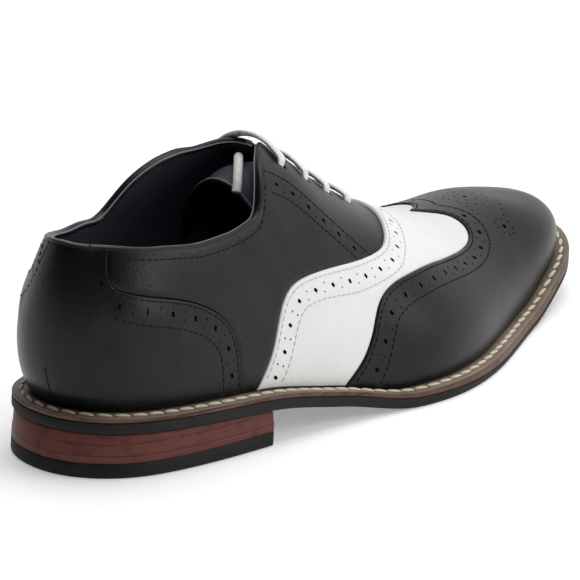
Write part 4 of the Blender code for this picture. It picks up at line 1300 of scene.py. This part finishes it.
def make_tongue():
    """The tongue: a soft sheet with an arched free end, its edge bound."""
    table = np.asarray(TONGUE)
    across = np.linspace(-1, 1, 41)
    parts = np.linspace(0, 1, 60)
    arch = TONGUE_ARCH * (1 - np.sqrt(np.maximum(0, 1 - across ** 2 * 0.96)))
    start = table[0, 0] + arch
    share = start[None, :] + (table[-1, 0] - start)[None, :] * parts[:, None]
    flare = TONGUE_FLARE * np.clip((FLARE_FROM - share) / FLARE_RUN, 0, 1) ** 1.5
    half = smooth_column(TONGUE, 1, share) * (1 + flare)
    sag = smooth_column(TONGUE, 2, share) * INSTEP_HEIGHT
    top = -(FACING_DEPTH + WALL + TONGUE_CLEAR)
    layers = []
    for height in (top, top - TONGUE_THICK):
        sheet = skin_point(share, half * across[None, :], height)
        sheet[..., 2] -= sag
        layers.append(sheet)
    count, width = share.shape
    shift = count * width
    faces = []
    for i in range(count - 1):
        for j in range(width - 1):
            a = i * width + j
            face = [a, a + width, a + width + 1, a + 1]
            faces.append(face)
            faces.append([k + shift for k in reversed(face)])
    rim = ([(i, 0) for i in range(count - 1, 0, -1)] + [(0, j) for j in range(width)]
           + [(i, width - 1) for i in range(1, count)])
    add_piece("tongue_leather", np.vstack([layer.reshape(-1, 3) for layer in layers]), faces, ["lining"],
              ["tongue"])
    line = np.array([(layers[0][place] + layers[1][place]) / 2 for place in rim])
    keep = np.concatenate([[0], np.cumsum(np.linalg.norm(np.diff(line, axis=0), axis=1))])
    line = np.stack([np.interp(np.linspace(0, keep[-1], 160), keep, line[:, k]) for k in range(3)], -1)
    ahead = unit(np.gradient(line, axis=0))
    up = unit(np.cross(ahead, np.cross([0.0, 0.0, 1.0], ahead)))
    side = np.cross(ahead, up)
    points, faces = sweep(line, side, up, oval(0.0009, 0.0010, 12))
    add_piece("tongue_binding", points, faces, ["black"])
    # pale grey cord on top of the binding: a painted highlight along the tongue's edge
    points, faces = sweep(line + up * 0.0009, side, up, oval(0.00026, 0.00026, 8))
    add_piece("tongue_painted_edge_highlight", points, faces, ["rim"])


def side_ends(end=None):
    """How far along each side's outline a layer runs: to the toe, or to an end across the sole."""
    ends = {}
    for side in SIDES:
        shares = np.linspace(0, 1, 2001)
        x = edge_point(side, shares, HEEL_INSET)[0][:, 0]
        ends[side] = 1.0 if end is None else float(shares[np.argmax(x > end)])
    return ends


def make_layer(name, profile, materials, nodes, end=None, bands=None, count=150):
    """A sole layer: a profile of inset and height, from its bottom up, carried round the edge, with its
    faces closed between the two sides."""
    ends = side_ends(end)
    columns = {}
    for side in SIDES:
        turn = (1 - np.cos(np.pi * np.linspace(0, 1, count))) / 2
        shares = ends[side] * (turn if end is None else np.sin(np.pi / 2 * np.linspace(0, 1, count)))
        rows = []
        for inset, height in profile:
            place = edge_point(side, shares, inset)[0]
            if end is not None:
                place[:, 0] = np.minimum(place[:, 0], end)
                place[-1, 0] = end
            rows.append(np.column_stack([place, height(place[:, 0])]))
        columns[side] = np.stack(rows, 1)
    height = len(profile)
    points = np.vstack([columns["lateral"].reshape(-1, 3), columns["medial"].reshape(-1, 3)])
    shift = count * height
    faces, indices = [], []
    for i in range(count - 1):
        for j in range(height - 1):
            a = i * height + j
            faces.append([a, a + height, a + height + 1, a + 1])
            b = a + shift
            faces.append([b, b + 1, b + height + 1, b + height])
            indices += [bands[j] if bands else 0] * 2
    extra = [points]
    size = len(points)
    fill = np.linspace(0, 1, 13)[1:-1]
    for j, level in ((0, profile[0][1]), (height - 1, profile[-1][1])):
        near, far = columns["lateral"][:, j], columns["medial"][:, j]
        inner = near[:, None, :2] + (far - near)[:, None, :2] * fill[None, :, None]
        inner = np.concatenate([inner, level(inner[..., 0])[..., None]], -1)
        rows = []
        for i in range(count):
            rows.append([i * height + j] + [size + i * len(fill) + k for k in range(len(fill))]
                        + [shift + i * height + j])
        extra.append(inner.reshape(-1, 3))
        size += inner.shape[0] * inner.shape[1]
        for i in range(count - 1):
            for k in range(len(fill) + 1):
                face = [rows[i][k], rows[i][k + 1], rows[i + 1][k + 1], rows[i + 1][k]]
                faces.append(face if j == 0 else face[::-1])
                indices.append(bands[0 if j == 0 else -1] if bands else 0)
    if end is not None:
        last = (count - 1) * height
        for j in range(height - 1):
            faces.append([last + j, shift + last + j, shift + last + j + 1, last + j + 1])
            indices.append(bands[j] if bands else 0)
    return add_piece(name, np.vstack(extra), faces, materials, nodes, indices)


def make_sole():
    """Welt, outsole and heel, with rounded edges, and the welt's twisted stitches."""
    def over(rise):
        return lambda x: underside(x) + OUTSOLE_THICK + rise

    def under(rise):
        return lambda x: underside(x) + rise

    def join(rise):
        """The outsole thins under the forepart, where the welt's edge is deeper."""
        turn = lambda x: np.clip((x - 0.120) / 0.090, 0, 1)
        return lambda x: (underside(x) + OUTSOLE_THICK + rise
                          - 0.0019 * turn(x) ** 2 * (3 - 2 * turn(x)))

    top = WELT_THICK
    welt = [(0.0012, join(0.0)), (0.0003, join(0.0)), (0.0, join(0.0003)), (0.0, over(top - 0.0005)),
            (0.0001, over(top - 0.0002)), (0.0004, over(top)), (0.0022, over(top)),
            (0.0026, over(top - 0.0002)), (0.0031, over(top - 0.0003)), (0.0036, over(top - 0.0002)),
            (0.0040, over(top)), (0.0062, over(top - 0.0001)), (0.0098, over(top - 0.0002))]
    make_layer("welt_leather", welt, ["welt_edge", "welt_top"], ["welt"],
               bands=[0, 0, 0, 0, 1, 1, 1, 1, 1, 1, 1, 1])
    outsole = [(0.0016, under(0.0)), (0.0005, under(0.0001)), (0.0001, under(0.0005)), (0.0, under(0.0010)),
               (0.0, join(-0.0007)), (0.0002, join(-0.0002)), (0.0008, join(0.0))]
    make_layer("outsole_rubber", outsole, ["rubber"], ["outsole"])
    stack = [(HEEL_INSET, lambda x: LIFT_THICK + 0 * x), (0.0004, lambda x: LIFT_THICK + 0.0030 + 0 * x),
             (0.0007, lambda x: (LIFT_THICK + underside(x)) / 2), (0.0009, under(-0.0009)),
             (0.0013, under(-0.0001))]
    make_layer("heel_leather_stack", stack, ["stack"], ["heel_stack"], HEEL_LENGTH)
    lift = [(0.0010, lambda x: 0.0001 + 0 * x), (0.0005, lambda x: 0.0004 + 0 * x),
            (HEEL_INSET, lambda x: 0.0010 + 0 * x), (HEEL_INSET, lambda x: LIFT_THICK - 0.0004 + 0 * x),
            (0.0006, lambda x: LIFT_THICK + 0 * x)]
    make_layer("heel_lift_rubber", lift, ["lift"], ["heel_lift"], HEEL_LENGTH)
    ring = []
    for side, shares in (("lateral", np.linspace(0, 1, 500)), ("medial", np.linspace(1, 0, 500)[1:])):
        place, out = edge_point(side, shares, 0.0031)
        ring.append(np.column_stack([place, welt_top(place[:, 0]) - 0.00005, out]))
    ring = np.vstack(ring)
    run = np.concatenate([[0], np.cumsum(np.linalg.norm(np.diff(ring[:, :3], axis=0), axis=1))])
    pitch = run[-1] / round(run[-1] / 0.0063)
    at = np.arange(0, run[-1] - pitch / 2, pitch)
    middle = np.stack([np.interp(at, run, ring[:, k]) for k in range(3)], -1)
    out = np.column_stack([np.interp(at, run, ring[:, 3]), np.interp(at, run, ring[:, 4]), 0 * at])
    before = np.stack([np.interp((at - 0.002) % run[-1], run, ring[:, k]) for k in range(3)], -1)
    after = np.stack([np.interp((at + 0.002) % run[-1], run, ring[:, k]) for k in range(3)], -1)
    ahead = unit(after - before)
    rows = []
    for shift, lean in ((-0.00022, 0.18), (0.00022, 0.18)):
        slanted = unit(ahead + out * lean)
        up = unit(np.cross(slanted, np.cross([0.0, 0.0, 1.0], slanted)))
        rows.append((middle + out * shift, slanted, up, np.full(len(at), 0.0029)))
    stitches("welt_stitches", rows, "welt_thread", 0.00044, 0.00072)


def make_stage():
    """A pale floor whose glow fades behind the heel, a studio bright on the toe's side, and soft lights."""
    material, tree, shader = set_material("floor_white", (0.86, 0.86, 0.86), 0.9, specular=0.05)
    shader.inputs["Emission Color"].default_value = (1.0, 1.0, 1.0, 1.0)
    place = add_node(tree, "ShaderNodeSeparateXYZ",
                     [("Vector", tree.nodes.new("ShaderNodeTexCoord").outputs["Object"])])
    tree.links.new(spread(tree, place.outputs["X"], 0.0, 0.30, -0.80, -0.45),
                   shader.inputs["Emission Strength"])
    mesh = bpy.data.meshes.new("floor")
    mesh.from_pydata([(-12, -12, 0), (12, -12, 0), (12, 12, 0), (-12, 12, 0)], [], [(0, 1, 2, 3)])
    mesh.materials.append(material)
    floor = bpy.data.objects.new("floor", mesh)
    bpy.context.collection.objects.link(floor)
    world = bpy.data.worlds.new("studio")
    bpy.context.scene.world = world
    world.use_nodes = True
    tree = world.node_tree
    background = tree.nodes["Background"]
    background.inputs["Color"].default_value = (1.0, 1.0, 1.0, 1.0)
    toward = add_node(tree, "ShaderNodeSeparateXYZ",
                      [("Vector", tree.nodes.new("ShaderNodeTexCoord").outputs["Generated"])])
    tree.links.new(spread(tree, toward.outputs["X"], 0.03, 0.85, -0.35, 0.85), background.inputs["Strength"])
    lights = [
        # place, target, width, height, power
        ((0.25, 0.05, 1.50), (0.05, 0.0, 0.05), 1.3, 1.0, 14.0),
        ((0.70, -1.30, 0.70), (0.0, 0.0, 0.04), 0.8, 0.8, 6.5),
        ((-1.10, -0.75, 1.30), (-0.08, -0.02, 0.05), 0.30, 0.30, 3.0),
        ((0.06, -0.92, 0.14), (-0.12, -0.02, 0.05), 0.16, 0.10, 0.7)]
    for number, (place, target, width, height, power) in enumerate(lights, 1):
        data = bpy.data.lights.new("softbox_" + str(number), "AREA")
        data.shape = "RECTANGLE"
        data.size, data.size_y, data.energy = width, height, power
        light = bpy.data.objects.new("softbox_" + str(number), data)
        light.location = place
        light.rotation_mode = "QUATERNION"
        light.rotation_quaternion = (Vector(target) - Vector(place)).to_track_quat("-Z", "Y")
        bpy.context.collection.objects.link(light)


def main():
    make_camera()
    make_lace_end()
    make_lace_bars()
    make_uppers()
    make_lining()
    make_rim()
    make_tongue()
    make_sole()
    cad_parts["insole"].data.materials.clear()
    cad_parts["insole"].data.materials.append(MATERIALS["lining"])
    make_stage()
    bpy.context.scene.view_settings.view_transform = "Standard"


main()
